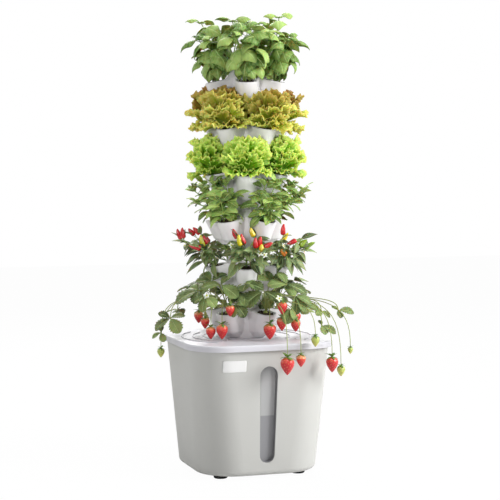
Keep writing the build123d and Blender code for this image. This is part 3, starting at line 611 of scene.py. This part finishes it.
def grow_herb(crop, tier, seed, stems, spread, make, paint, habit):
    """A herb in each pocket of a tier, with its stems spread round the pocket's middle."""
    for pocket in range(POCKET_COUNT):
        growth = Growth(seed + pocket)
        for k, (owner, *place) in enumerate(stems):
            if owner == pocket:
                root = pocket_point(tier, pocket, -PLUG_DROP) + spread * heading(STEM_TURN * k)
                crossed_pairs(growth, root, seen(*place), make, habit)
        name, nodes = f"{crop}_plant_{pocket + 1}", f"{crop}_plants"
        growth.build(name, [paint, GREEN_STEM], f"tier_{tier}", nodes, slot=f"{crop}_leaf")


# Lettuce: rings of frilled leaves on a stump

# Rings from the outside in: leaves, rise over the horizon, length, droop, tone
LETTUCE_RINGS = (
    (7, 29, 0.077, 0.98, 1.0),
    (7, 50, 0.09, 0.75, 0.8),
    (7, 68, 0.1, 0.5, 0.4),
    (5, 82, 0.092, 0.2, 0.05),
)
FAN = radians(64)
STUMP_RISE, STUMP_OUT = 0.016, 0.004
STUMP_RADII = (0.006, 0.008, 0.008, 0.005)
# Waves of a frilled margin: how many in a leaf, height as a share of its length, power of the way out
FRILLS = ((2.6, 0.05, 2.0), (6.4, 0.042, 2.6), (11.3, 0.034, 3.5), (18.7, 0.03, 4.5))


def frilled_grid(length, droop, rng, rows=10, columns=112):
    """A lettuce leaf: a round fan from a narrow rib to a margin of waves upon waves."""
    ring, fan = lattice(np.linspace(0.02, 1, rows + 1), np.linspace(-1, 1, columns + 1))
    angle = fan * FAN
    phase = rng.uniform(0, 2 * pi, len(FRILLS))
    lift = -0.0025 * (1 - ring) * np.exp(-((fan / 0.15) ** 2))
    ragged = 1.0
    for (count, height, power), start in zip(FRILLS, phase):
        wave = np.sin(pi * count * fan + start)
        lift = lift + length * height * ring**power * wave
        ragged = ragged + 0.4 * height * np.cos(pi * count * fan + 2 * start)
    reach = length * (0.4 + 0.6 * np.cos(angle)) * ragged
    spread = angle * (0.3 + 0.7 * ring**0.7)
    side = ring * reach * np.sin(spread)
    ahead = ring * reach * np.cos(spread)
    lift = lift + 3.0 * side**2
    return bent(side, ahead, lift, length, droop), ring, fan


def lettuce(tier, pocket, seed, crop, paint):
    """One lettuce: rings of frilled leaves on a short stump."""
    growth = Growth(seed)
    rng = growth.rng
    outward = pocket_turn(tier, pocket)
    crown = pocket_point(tier, pocket, -PLUG_DROP)
    heart = pocket_point(tier, pocket, STUMP_RISE, STUMP_OUT)
    growth.tube(np.linspace(crown, heart, 4), STUMP_RADII, STEM, 0.5, 8)
    for row, (count, rise, length, droop, tone) in enumerate(LETTUCE_RINGS):
        for k in range(count):
            azimuth = outward + 2 * pi * (k + 0.5 * row) / count + rng.normal(0, 0.14)
            facing = 0.5 + 0.5 * cos(azimuth - outward)
            size = length * (0.74 + 0.3 * facing) * rng.uniform(0.9, 1.08)
            climb = radians(rise) + (1 - facing) * 0.5 + rng.normal(0, 0.08)
            grid, ring, fan = frilled_grid(size, max(0.1, droop + rng.normal(0, 0.15)), rng)
            root = crown + (heart - crown) * 0.3 * row
            grid = clear_of_tower(placed(grid, root, heading(azimuth, min(climb, 1.5))))
            growth.sheet(grid, BLADE, ring, fan, float(np.clip(tone + rng.normal(0, 0.18), 0, 1)))
    name = f"{crop}_{pocket + 1}"
    growth.build(name, [paint, GREEN_STEM], f"tier_{tier}", f"{crop}_plants", slot=f"{crop}_leaf")


def grow_lettuces():
    for pocket in range(POCKET_COUNT):
        lettuce(2, pocket, 200 + pocket, "red_lettuce", RED_LETTUCE_PAINT)
        lettuce(3, pocket, 300 + pocket, "green_lettuce", GREEN_LETTUCE_PAINT)


# Chilli: forked stems, narrow hanging leaves, upright peppers and white flowers

CHILLI_LEAF = Leaf(LANCEOLATE, 0.42, 12, 4, droop=0.55, fold=0.3, quilt=0.0003, veins=7)
PETAL = Leaf(ELLIPTIC, 0.62, 5, 4, droop=0.5, cup=0.4)
CHILLI_TIER = 5
CHILLI_FORK = 0.036
TRUNK_RADII, BRANCH_RADII = (0.0032, 0.0025), (0.0019, 0.001)
PEPPER_RADIUS = 0.0068
PEPPER_STRETCH = 1.2
PEPPER_OUT = 4
PEPPER_BOW = 0.003
PEDICEL, PEDICEL_RADIUS = 0.009, 0.0009
LEAVES_ON_BRANCH = 6
BRANCH_LEAF_LENGTHS = (0.03, 0.048)
SKIRT_LEAVES = 13
SKIRT_STEP = 0.27
SKIRT_DROP = 0.011
SKIRT_LEVELS = 3
SKIRT_REACHES, SKIRT_LENGTHS = (0.014, 0.028), (0.04, 0.058)
FIRST_LEAF = 3
CHILLI_ROLL = 0.9
PEPPER_RINGS = 11
CALYX_RADII = (0.0012, 0.0034, 0.0046, 0.0044)
HEART_RADII = (0.05, 0.12, 0.13, 0.06)
PETAL_COUNT = 5
# A flower's size, and the lift, radius and points of its stalk
CHILLI_FLOWER = {"size": 0.017, "lift": 0.012, "radius": 0.0007, "count": 5}
STRAWBERRY_FLOWER = {"size": 0.02, "lift": 0.03, "radius": 0.0008, "count": 9}

# Peppers by the foot of each: pocket, across, towards the camera, over the lid, lean, rise, ripeness
PEPPERS = (
    (2, -171, 20, 259, -9, 22, 1.0), (2, -164, 36, 262, -3, 23, 0.95), (2, -137, 8, 269, -13, 14, 1.0),
    (2, -122, 24, 273, -15, 14, 0.92), (2, -112, 62, 240, -6, 27, 0.3), (2, -103, 50, 248, -7, 18, 0.95),
    (2, -118, 88, 238, -26, 8, 1.0),
    (3, -24, 108, 266, -9, 20, 1.0), (3, -16, 126, 247, -3, 25, 0.35), (3, -5, 114, 250, -7, 23, 0.97),
    (3, 19, 88, 269, -7, 20, 0.4), (3, 25, 120, 241, -1, 23, 1.0), (3, 35, 108, 244, 2, 22, 0.9),
    (3, 47, 116, 241, 17, 11, 1.0), (3, 40, 136, 234, 0, 15, 0.42),
    (4, 96, 30, 270, 2, 24, 0.95), (4, 129, 50, 257, -20, -8, 1.0), (4, 102, 68, 220, -10, 12, 0.6),
    (4, 140, 34, 240, 16, 15, 0.2), (4, 154, 18, 234, 22, 13, 0.12),
    (0, 74, -86, 260, 5, 22, 1.0), (0, 38, -104, 254, -6, 24, 0.95), (0, 98, -66, 246, 12, 20, 0.4),
    (0, 58, -120, 238, 2, 22, 1.0), (0, 20, -90, 250, -8, 20, 0.3),
    (1, -76, -84, 258, -6, 22, 1.0), (1, -42, -106, 256, 4, 22, 0.92), (1, -100, -62, 244, -12, 20, 1.0),
    (1, -60, -122, 240, -2, 22, 0.45), (1, -18, -88, 250, 8, 20, 0.2),
)
# Flowers: (pocket, across, towards the camera, height over the lid)
CHILLI_FLOWERS = (
    (2, -97, 66, 241), (2, -161, 44, 242), (2, -70, 60, 216), (3, -38, 124, 248),
    (3, 34, 142, 228), (3, 46, 138, 224),
    (4, 96, 74, 243), (4, 150, 40, 226), (0, 60, -128, 226), (1, -62, -128, 228),
)


def flower(growth, centre, facing, size):
    """A small open flower: petals round a raised heart."""
    ahead = unit(np.asarray(facing, float))
    side = unit(np.cross(ahead, (0.1, 0.2, 1.0)))
    above = np.cross(side, ahead)
    for k in range(PETAL_COUNT):
        angle = 2 * pi * k / PETAL_COUNT
        outward = cos(angle) * side + sin(angle) * above
        root = centre + 0.06 * size * outward
        growth.blade(PETAL, root, outward + 0.35 * ahead, 0.5 * size, PETALS, ahead)
    heart = np.linspace(centre - 0.1 * size * ahead, centre + 0.14 * size * ahead, len(HEART_RADII))
    growth.tube(heart, size * np.array(HEART_RADII), HEART, 0.5, 8)


def add_flowers(growth, places, start, facing, size, lift, radius, count):
    """Flowers on thin stalks that arch from one point."""
    for place in places:
        centre = seen(*place)
        handle = 0.5 * (start + centre) + upward(lift)
        growth.tube(arch(start, handle, centre, count=count), radius, STEM)
        flower(growth, centre, facing, size)


def pepper_branch(plant, fruit, fork, across, out, height, lean, rise, ripeness):
    """A branch from the plant's fork, its leaves, and the pepper at its end."""
    rng = plant.rng
    base = seen(across, out, height)
    tip = seen(across + PEPPER_STRETCH * lean, out + PEPPER_OUT, height + PEPPER_STRETCH * rise)
    ahead = unit(tip - base)
    node = base - PEDICEL * unit(ahead + upward(0.4))
    branch = arch(fork, between(fork, node, 0.6, 0.7), node)
    plant.tube(branch, BRANCH_RADII, STEM, 0.6)
    fruit.tube(arch(node, node + upward(0.6 * PEDICEL), base, count=4), PEDICEL_RADIUS, STEM)
    calyx = np.linspace(base - 0.002 * ahead, base + 0.0028 * ahead, len(CALYX_RADII))
    fruit.tube(calyx, CALYX_RADII, STEM, 0.5, 10)
    share = np.linspace(0, 1, PEPPER_RINGS)
    girth = PEPPER_RADIUS * np.minimum(1, 0.75 + 2.5 * share) * (1 - share**2.4) ** 0.7 + 0.0003
    bow = PEPPER_BOW * unit(np.cross(ahead, (0.3, 0.7, 0.2)))
    line = arch(base, 0.5 * (base + tip) + bow, tip, count=PEPPER_RINGS)
    fruit.tube(line, girth, FLESH, ripeness, 12)
    for k in range(LEAVES_ON_BRANCH):
        azimuth = atan2(node[1] - fork[1], node[0] - fork[0]) + rng.normal(0, 1.1)
        climb = rng.uniform(0.3, 1.0) if k == LEAVES_ON_BRANCH - 1 else rng.uniform(-0.75, 0.4)
        length = rng.uniform(*BRANCH_LEAF_LENGTHS)
        plant.leaf(CHILLI_LEAF, branch[FIRST_LEAF + k], azimuth, climb, length, 0.005, roll=CHILLI_ROLL)


def chilli_skirt(plant, fork, turn):
    """Leaves that hang round the plant's outer side, from a few levels of its stem."""
    rng = plant.rng
    for k in range(SKIRT_LEAVES):
        drop = SKIRT_DROP * (k % SKIRT_LEVELS)
        azimuth = turn + (k - (SKIRT_LEAVES - 1) / 2) * SKIRT_STEP + rng.normal(0, 0.12)
        origin = fork + rng.uniform(*SKIRT_REACHES) * heading(azimuth) - upward(drop)
        plant.tube(np.linspace(fork - upward(0.008 + drop), origin, 3), 0.001, STEM)
        climb = rng.uniform(-0.9, 0.1)
        length = rng.uniform(*SKIRT_LENGTHS)
        plant.leaf(CHILLI_LEAF, origin, azimuth, climb, length, 0.006, roll=CHILLI_ROLL)


def grow_chilli():
    paints = [CHILLI_PAINT, GREEN_STEM, PETAL_PAINT, HEART_PAINT]
    skins = [PEPPER_PAINT, GREEN_STEM]
    for pocket in range(POCKET_COUNT):
        plant, fruit = Growth(500 + pocket), Growth(550 + pocket)
        turn = pocket_turn(CHILLI_TIER, pocket)
        fork = pocket_point(CHILLI_TIER, pocket, CHILLI_FORK)
        foot = pocket_point(CHILLI_TIER, pocket, -PLUG_DROP)
        plant.tube(arch(foot, 0.5 * (foot + fork), fork, count=5), TRUNK_RADII, STEM, 0.3, 8)
        for pepper in of_pocket(PEPPERS, pocket):
            pepper_branch(plant, fruit, fork, *pepper)
        chilli_skirt(plant, fork, turn)
        facing = heading(turn) + upward(0.5)
        add_flowers(plant, of_pocket(CHILLI_FLOWERS, pocket), fork, facing, **CHILLI_FLOWER)
        plant.build(f"chilli_plant_{pocket + 1}", paints, "tier_5", "chilli_plants", slot="chilli_leaf")
        fruit.build(f"chilli_fruit_{pocket + 1}", skins, "tier_5", "chilli_peppers", slot="ripe_fruit")


# Strawberry: toothed leaves in threes, hanging fruit, runners with young leaves

LEAFLET = Leaf(
    OBOVATE, 0.9, 36, 8, droop=0.7, fold=0.22, cup=0.2, quilt=0.0012, veins=7, teeth=7, bite=0.26
)
SEPAL = Leaf(LANCEOLATE, 0.42, 5, 4, droop=0.9)
STRAWBERRY_TIER = 6
CROWN_HEIGHT = 0.006
STALK_RISE = 0.034
STALK_DROP = 0.024
STALK_ARCH = 0.008
STALK_RADII = (0.0013, 0.0009)
RUNNER_RADIUS = 0.0012
CROWN_RADII = (0.006, 0.007, 0.006, 0.004)
BERRY_RATIO = 1.25
BERRY_ROWS, BERRY_SIDES = 27, 32
BERRY_PLACES = (0, 0.06, 0.16, 0.3, 0.5, 0.72, 0.88, 0.96, 1.0)
BERRY_RADII = (0.22, 0.62, 0.9, 1.0, 0.92, 0.62, 0.34, 0.17, 0.02)
SEED_COUNT = 64
GOLDEN_ANGLE = 2.39996
SEPAL_COUNT = 8
NECK_RADII = (0.0024, 0.0028, 0.0014)
# Shares of a strawberry's width
PIT_DEPTH, PIT_WIDTH = 0.035, 0.045
SEED_SIZE, SEED_SINK = 0.03, 0.016
SEPAL_LENGTH = 0.62
BACK_LEAF_STEPS = (-1.9, -0.95, 0.0, 0.95, 1.9)
SIDE_LEAF_STEPS = (-1.75, 1.75)
HIDDEN_REACH, HIDDEN_LEAFLET = 0.058, 0.046
HIDDEN_HEIGHTS = (0.03, 0.075)
LEAFLET_TURNS = (-1.35, 0, 1.35)

# Leaves that show: pocket, the place where the leaflets meet, and the leaflets' tips,
# each as millimetres across, towards the camera and over the lid
STRAWBERRY_LEAVES = (
    (2, (-66, 92, 143), ((-114, 104, 150), (-50, 82, 172), (-22, 116, 122))),
    (2, (-124, 84, 128), ((-188, 96, 114), (-152, 58, 142), (-134, 122, 108))),
    (2, (-104, 112, 116), ((-120, 130, 82), (-80, 134, 96), (-140, 118, 108))),
    (2, (-28, 112, 96), ((0, 124, 68), (-8, 128, 104), (-40, 128, 68))),
    (2, (-90, 66, 150), ((-118, 50, 176), (-60, 54, 182), (-128, 80, 160))),
    (3, (42, 102, 128), ((-10, 124, 102), (6, 106, 160), (92, 128, 116))),
    (3, (104, 86, 144), ((90, 76, 180), (160, 88, 132), (58, 102, 154))),
    (3, (124, 110, 116), ((160, 122, 84), (136, 132, 76), (172, 112, 108))),
    (3, (110, 130, 86), ((106, 142, 48), (90, 138, 64), (128, 136, 62))),
    (3, (66, 60, 150), ((52, 44, 184), (100, 52, 172), (30, 70, 172))),
)
# Runner leaves, in the same way
RUNNER_LEAVES = (
    (1, (-198, 62, 54), ((-226, 66, 72), (-164, 60, 70), (-242, 74, 34), (-176, 90, 24))),
    (1, (-223, 64, 16), ((-222, 60, 34), (-248, 68, 8), (-216, 78, -4))),
    (4, (194, 76, 74), ((160, 78, 96), (220, 78, 64), (184, 100, 70))),
    (4, (238, 84, 76), ((224, 80, 90), (278, 88, 82), (246, 106, 66))),
    (4, (194, 112, 40), ((190, 108, 56), (232, 118, 28), (204, 136, 26))),
    (0, (-96, -196, 56), ((-130, -214, 62), (-64, -218, 58), (-92, -166, 70), (-110, -226, 30))),
    (1, (-186, -84, 60), ((-216, -100, 62), (-176, -116, 52), (-192, -54, 66))),
    (4, (168, -112, 58), ((200, -124, 58), (154, -142, 50), (178, -82, 64))),
)
# Fruit: (pocket, across, towards the camera, height of its top over the lid, diameter)
RIPE_BERRIES = (
    (2, -107, 90, 59, 24), (2, -92, 114, 37, 26), (2, -63, 120, 44, 31), (2, -42, 121, 94, 24),
    (3, 60, 122, 46, 33), (3, 92, 138, 104, 26), (3, 91, 116, 62, 28), (3, 127, 100, 55, 26),
    (3, 103, 212, -29, 36), (3, 138, 186, -26, 25), (4, 219, 150, -36, 32),
    (0, 20, -128, 50, 30), (1, -128, -52, 60, 26), (4, 132, -56, 58, 28), (0, -40, -216, -22, 30),
)
GREEN_BERRIES = (
    (3, 175, 172, 20, 22), (4, 243, 128, -62, 22), (4, 268, 112, -16, 14),
    (1, -226, 16, -31, 20), (0, -12, -146, 84, 18),
)
STRAWBERRY_FLOWERS = ((2, -102, 118, 118), (3, 84, 138, 112), (0, 24, -140, 112), (4, 124, -40, 124))


def leaflets(growth, joint, tips, outward):
    """Leaflets that meet at a joint and reach to their tips."""
    up = unit(outward * 0.7 + upward(1))
    for tip in tips:
        reach = tip - joint
        growth.blade(LEAFLET, joint + 0.05 * reach, reach, np.linalg.norm(reach), BLADE, up)


def hanging_line(start, end):
    """A stalk's line: outwards from the crown in an arch, and down to its end."""
    bend = np.array([end[0], end[1], max(start[2], end[2] + STALK_DROP) + STALK_ARCH])
    first, second = start + 0.8 * (bend - start), bend + 0.2 * (end - bend)
    return arch(start, first, second, end, count=15)


def berry_profile(share):
    """A strawberry's radius, as a share of its half width, from its neck to its tip."""
    places = np.linspace(0, 1, 201)
    rough = np.interp(places, BERRY_PLACES, BERRY_RADII)
    smooth = np.convolve(np.pad(rough, 6, mode="edge"), np.ones(13) / 13, "valid")
    return np.interp(share, places, smooth)


def berry(growth, top, diameter, tone):
    """A strawberry under its top: a pitted skin, seeds in the pits, and a ruff of sepals."""
    rng = growth.rng
    length, radius = BERRY_RATIO * diameter, diameter / 2

    def skin_point(share, angle):
        girth = radius * berry_profile(share)
        return np.stack([girth * np.cos(angle), girth * np.sin(angle), -length * share], axis=-1)

    share = 0.5 - 0.5 * np.cos(np.linspace(0, pi, BERRY_ROWS))
    girth = berry_profile(share)
    steps = (np.arange(SEED_COUNT) + 0.5) / SEED_COUNT
    seed_share = np.interp(steps, np.cumsum(girth) / girth.sum(), share)
    spots = skin_point(seed_share, GOLDEN_ANGLE * np.arange(SEED_COUNT) + rng.uniform(0, 6))
    rings = skin_point(*lattice(share, circle(BERRY_SIDES)))
    gap = np.linalg.norm(rings[:, :, None] - spots[None, None], axis=-1).min(axis=-1)
    pits = PIT_DEPTH * diameter * np.exp(-((gap / (PIT_WIDTH * diameter)) ** 2))
    growth.skin((top + rings - pits[..., None] * unit(rings * (1, 1, 0)))[::-1], FLESH, share[::-1], tone)
    for spot, place in zip(spots, seed_share):
        outward = unit(np.array([spot[0], spot[1], (0.5 - 1.2 * place) * radius * 0.3]))
        side = unit(np.cross(outward, (0, 0, 1.0)))
        axes = np.array([0.62 * side, 1.1 * np.cross(side, outward), 0.6 * outward])
        middle = top + spot - SEED_SINK * diameter * outward
        growth.crumb(middle, axes, SEED_SIZE * diameter, SEEDS, place, 0.5)
    for k in range(SEPAL_COUNT):
        azimuth = 2 * pi * k / SEPAL_COUNT + rng.normal(0, 0.15)
        forward = heading(azimuth, (0.85 if k % 2 else 0.15) + rng.normal(0, 0.12))
        growth.blade(SEPAL, top, forward, SEPAL_LENGTH * diameter * rng.uniform(0.85, 1.15), RUFF)
    growth.tube(np.linspace(top - upward(0.002), top + upward(0.003), 3), NECK_RADII, RUFF)


def crown_line(pocket, end):
    """A stalk's points from a pocket's crown to its end."""
    line = hanging_line(pocket_point(STRAWBERRY_TIER, pocket, STALK_RISE), end)
    return np.concatenate([[pocket_point(STRAWBERRY_TIER, pocket, CROWN_HEIGHT)], line])


def hidden_leaves(crown, turn, steps, rng):
    """Leaves that the photograph doesn't show: the joint and the tips of each."""
    for step in steps:
        azimuth = turn + step + rng.normal(0, 0.15)
        joint = crown + HIDDEN_REACH * heading(azimuth) + upward(rng.uniform(*HIDDEN_HEIGHTS))
        ways = [heading(azimuth + side, rng.uniform(-0.4, 0.2)) for side in LEAFLET_TURNS]
        yield joint, [joint + HIDDEN_LEAFLET * way for way in ways]


def strawberry_plant(pocket):
    plant = Growth(600 + pocket)
    turn = pocket_turn(STRAWBERRY_TIER, pocket)
    outward = heading(turn)
    foot = pocket_point(STRAWBERRY_TIER, pocket, -PLUG_DROP)
    crown = pocket_point(STRAWBERRY_TIER, pocket, CROWN_HEIGHT)
    plant.tube(np.linspace(foot, crown, 4), CROWN_RADII, STEM, 0.2, 8)
    shown = of_pocket(STRAWBERRY_LEAVES, pocket)
    rows = [(seen(*joint), [seen(*tip) for tip in tips]) for joint, tips in shown]
    rows += hidden_leaves(crown, turn, SIDE_LEAF_STEPS if rows else BACK_LEAF_STEPS, plant.rng)
    for joint, tips in rows:
        joint = clear_of_tower(joint)
        handle = between(crown, joint, 0.4, 1.0) + upward(0.01)
        plant.tube(arch(crown, handle, joint), RUNNER_RADIUS, STEM, 0.7)
        leaflets(plant, joint, tips, outward)
    places = of_pocket(STRAWBERRY_FLOWERS, pocket)
    add_flowers(plant, places, crown, outward + upward(0.7), **STRAWBERRY_FLOWER)
    paints = [STRAWBERRY_PAINT, STALK_PAINT, PETAL_PAINT, HEART_PAINT]
    name = f"strawberry_plant_{pocket + 1}"
    plant.build(name, paints, "tier_6", "strawberry_plants", slot="strawberry_leaf")


def strawberry_runners(stalks):
    runners = Growth(680)
    for pocket, joint, tips in RUNNER_LEAVES:
        joint = seen(*joint)
        stalks.tube(crown_line(pocket, joint), RUNNER_RADIUS, ONLY)
        outward = unit(np.array([joint[0], joint[1], 0]))
        facing = unit(outward + (NEAR if outward @ NEAR > 0 else 0))
        leaflets(runners, joint, [seen(*tip) for tip in tips], facing)
        runners.tube(np.linspace(joint - upward(0.003), joint + upward(0.002), 3), 0.0022, STEM)
    paints = [STRAWBERRY_PAINT, STALK_PAINT]
    node = "strawberry_runner_leaves"
    runners.build("strawberry_runner_tufts", paints, "tier_6", node, slot="strawberry_leaf")


def strawberry_fruit(stalks, name, rows, paint, node, slot):
    fruit = Growth(640 + len(rows))
    for pocket, *place, diameter in rows:
        top = seen(*place)
        stalks.tube(crown_line(pocket, top + upward(0.001)), STALK_RADII, ONLY)
        berry(fruit, top, diameter / 1000, fruit.rng.uniform(0, 1))
    fruit.build(name, [paint, SEED_PAINT, SEPAL_PAINT], "tier_6", node, slot=slot)


def grow_strawberries():
    stalks = Growth(690)
    for pocket in range(POCKET_COUNT):
        strawberry_plant(pocket)
    strawberry_runners(stalks)
    for name, rows, paint, node, slot in (
        ("ripe_strawberry_fruit", RIPE_BERRIES, RIPE_PAINT, "ripe_strawberries", "ripe_fruit"),
        ("green_strawberry_fruit", GREEN_BERRIES, UNRIPE_PAINT, "green_strawberries", "green_fruit"),
    ):
        strawberry_fruit(stalks, name, rows, paint, node, slot)
    name = "strawberry_fruit_stalks"
    stalks.build(name, [STALK_PAINT], "tier_6", "strawberry_stalks", slot="plant_stalk")


# Growing medium: a crumbly heap in every net cup

PLUG_RINGS = ((-0.0424, 0.0102), (-0.03, 0.0142), (-0.016, 0.0188), (-0.006, 0.0224))
HEAP_RINGS = ((-0.0035, 0.96), (-0.002, 0.86), (-0.001, 0.7), (0.0, 0.5), (0.0005, 0.28), (0.001, 0.08))
HEAP_RADIUS = 0.0226
HEAP_START = -0.005
CRUMBS = 46
HEAP_SIDES = 28
CRUMB_REACH, CRUMB_LIFT = 0.0205, 0.0004
CRUMB_SIZES = (0.0012, 0.0029)
PLUG_LUMPS, HEAP_LUMPS = 0.0004, 0.0011


def heap_medium():
    for tier in range(1, TIER_COUNT + 1):
        growth = Growth(700 + tier)
        rng = growth.rng
        for pocket in range(POCKET_COUNT):
            turn = pocket_turn(tier, pocket)
            axis = heading(turn, pi / 2 - POCKET_TILT)
            side = np.array([-sin(turn), cos(turn), 0])
            ahead = np.cross(side, axis)
            mouth = pocket_point(tier, pocket, 0.0)
            angle = circle(HEAP_SIDES)[:, None]
            rows = [(level, radius, PLUG_LUMPS) for level, radius in PLUG_RINGS]
            rows += [(level, share * HEAP_RADIUS, HEAP_LUMPS) for level, share in HEAP_RINGS]
            rings = []
            for level, radius, rough in rows:
                lumps = rng.normal(0, rough, (HEAP_SIDES, 1))
                height = level + lumps * (level > HEAP_START)
                width = radius + np.minimum(lumps, 0.0)
                rings.append(mouth + height * axis + width * (np.cos(angle) * side + np.sin(angle) * ahead))
            growth.skin(np.array(rings), ONLY, np.linspace(0, 1, len(rings)), 0.4)
            for _ in range(CRUMBS):
                reach = CRUMB_REACH * sqrt(rng.uniform(0, 1))
                bearing = rng.uniform(0, 2 * pi)
                size = rng.uniform(*CRUMB_SIZES)
                spot = mouth + CRUMB_LIFT * axis + reach * (cos(bearing) * side + sin(bearing) * ahead)
                sizes = size * rng.uniform(0.6, 1.1, (6, 1))
                growth.crumb(spot, np.array([side, ahead, axis]), sizes, ONLY, 0.5, rng.uniform(0, 1))
        name, node = f"growing_medium_{tier}", f"grow_plugs_{tier}"
        growth.build(name, [SOIL_PAINT], f"tier_{tier}", node, slot="growing_medium")


grow_herb("basil", 1, 100, BASIL_STEMS, 0.008, BASIL_LEAF, BASIL_PAINT, BASIL_HABIT)
grow_herb("mint", 4, 400, MINT_STEMS, 0.01, MINT_LEAF, MINT_PAINT, MINT_HABIT)
grow_lettuces()
grow_chilli()
grow_strawberries()
heap_medium()


# Level window and label

WATER_LINE = 0.165
WATER_EDGE = 0.0012
# Heights where the window's painted shade from the recess begins and where it is full
PAINTED_SHADE_START, PAINTED_SHADE_END = 0.25, 0.3
LABEL_LEFT, LABEL_RIGHT = -0.124, -0.062
LABEL_LOW, LABEL_HIGH = 0.2832, 0.3128
LABEL_CORNER = 0.003
LABEL_STAND = 0.0005
TANK_BASE, TANK_TOP = 0.010, 0.349
TANK_SIDES = (0.328, 0.376)
TANK_CORNERS = (0.104, 0.088)


def window_finish():
    """Frosted plastic, with painted shade of the recess at its upper end, and darker where the water stands
    behind it.
    """
    look = new_look("window_finish", Roughness=0.38)
    level = look.split(look.place())[2]
    surface = look.math("ADD", level, look.mapped(look.noise(60.0), -0.0008, 0.0008))
    wet = look.ranged(surface, WATER_LINE + WATER_EDGE, WATER_LINE - WATER_EDGE)
    dry = look.mixed(look.noise(12.0), (180, 181, 181), (186, 186, 186))
    # Painted shade: the dry part turns mid grey towards its upper end, where the recess shades it
    dry = look.mixed(look.ranged(level, PAINTED_SHADE_START, PAINTED_SHADE_END), dry, (136, 137, 137))
    water = look.mixed(look.noise(12.0), (148, 148, 151), (154, 154, 157))
    look.feed(Base_Color=look.mixed(wet, dry, water), Normal=look.bump(look.noise(900.0), 0.2, 0.0004))
    return look.owner


def tank_front(across, level):
    """The tank's outer front face at a place: its flat, and the round of its corners."""
    share = (level - TANK_BASE) / (TANK_TOP - TANK_BASE)
    half = np.interp(share, (0, 1), TANK_SIDES) / 2
    corner = np.interp(share, (0, 1), TANK_CORNERS)
    past = np.maximum(np.abs(across) - (half - corner), 0)
    return -(half - corner) - np.sqrt(corner**2 - past**2)


def stick_label():
    """A blank white label on the tank's front, which follows the start of the corner's round."""
    growth = Growth(800)
    tall, wide = LABEL_HIGH - LABEL_LOW, LABEL_RIGHT - LABEL_LEFT
    rise, share = lattice(0.5 - 0.5 * np.cos(np.linspace(0, pi, 15)), np.linspace(-1, 1, 25))
    level = LABEL_LOW + tall * rise
    past = np.maximum(np.abs(level - (LABEL_LOW + tall / 2)) - (tall / 2 - LABEL_CORNER), 0)
    half = wide / 2 - LABEL_CORNER + np.sqrt(np.maximum(LABEL_CORNER**2 - past**2, 0))
    across = (LABEL_LEFT + LABEL_RIGHT) / 2 + half * share
    grid = np.stack([across, tank_front(across, level) - LABEL_STAND, level], axis=-1)
    growth.sheet(grid[:, ::-1], ONLY, rise, share, 0.5)
    paint = moulded_plastic("label_finish", (236, 236, 235), (232, 232, 231), 0.05, 0.4)
    growth.build("blank_label", [paint], "tank", slot="tank_plastic")


dress(window_finish(), "level_window")
stick_label()


# Floor, world, lights and camera

FLOOR_SIDE = 14.0
FLOOR_GLOW = 0.98
AMBIENT = 0.1


def make_floor():
    """A plain pale floor that keeps the tower's shadow."""
    mesh = bpy.data.meshes.new("floor")
    half = FLOOR_SIDE / 2
    corners = [(-half, -half, 0), (half, -half, 0), (half, half, 0), (-half, half, 0)]
    mesh.from_pydata(corners, [], [(0, 1, 2, 3)])
    floor = bpy.data.objects.new("floor", mesh)
    bpy.context.scene.collection.objects.link(floor)
    look = new_look("floor_paint", Base_Color=tint(222, 222, 222), Roughness=0.8)
    shown = look.math("MULTIPLY", look.node("LightPath").outputs["Is Camera Ray"], FLOOR_GLOW)
    glow = look.node("Emission", {"Color": (1, 1, 1, 1), "Strength": 1.0})
    cover = look.node("MixShader", {0: shown, 1: look.shader.outputs[0], 2: glow.outputs[0]})
    look.put(cover.outputs[0], look.tree.nodes["Material Output"].inputs["Surface"])
    mesh.materials.append(look.owner)


def make_world():
    """White where the camera, a reflection or a clear piece sees it, and a softer light elsewhere."""
    world = bpy.data.worlds.new("studio")
    bpy.context.scene.world = world
    sky = Look(world, "Background", Color=(1, 1, 1, 1))
    path = sky.node("LightPath").outputs
    shown = sky.math("MAXIMUM", path["Is Camera Ray"], path["Is Glossy Ray"])
    shown = sky.math("MAXIMUM", shown, path["Is Transmission Ray"])
    sky.feed(Strength=sky.mapped(shown, AMBIENT, 1.0))


def make_lamp(name, kind, place, target, **settings):
    """A lamp at a place, facing a target."""
    lamp = bpy.data.lights.new(name, kind)
    for setting, value in settings.items():
        setattr(lamp, setting, value)
    light = bpy.data.objects.new(name, lamp)
    light.location = place
    light.rotation_euler = (Vector(target) - Vector(place)).to_track_quat("-Z", "Y").to_euler()
    bpy.context.scene.collection.objects.link(light)


def make_camera():
    """The photograph's view: level with the tower's upper half, turned to the tank's left."""
    data = bpy.data.cameras.new("camera")
    data.lens = CAMERA_LENS
    data.shift_x = CAMERA_SHIFT
    camera = bpy.data.objects.new("camera", data)
    camera.location = CAMERA_DISTANCE * NEAR + upward(CAMERA_HEIGHT)
    camera.rotation_euler = (pi / 2 - CAMERA_PITCH, 0, -TOWER_TURN)
    bpy.context.scene.collection.objects.link(camera)
    bpy.context.scene.camera = camera


make_floor()
make_world()
make_lamp("key", "AREA", (2.5, -2.0, 1.9), (0, 0, 0.45), size=1.8, energy=132)
make_lamp("top", "AREA", (0.1, -0.4, 3.2), (0, 0, 0.4), size=2.4, energy=54)
make_lamp("rim", "AREA", (-2.4, 1.2, 1.6), (0, 0, 0.4), size=1.5, energy=18)
make_lamp("back", "AREA", (0.4, 2.6, 2.2), (0, 0, 0.4), size=1.8, energy=64)
cone = {"spot_size": radians(17), "spot_blend": 0.25, "shadow_soft_size": 0.4}
make_lamp("tower_fill", "SPOT", (-2.0, -2.9, 1.2), (0, 0, 0.84), energy=200, **cone)
make_camera()
bpy.context.scene.view_settings.view_transform = "Standard"
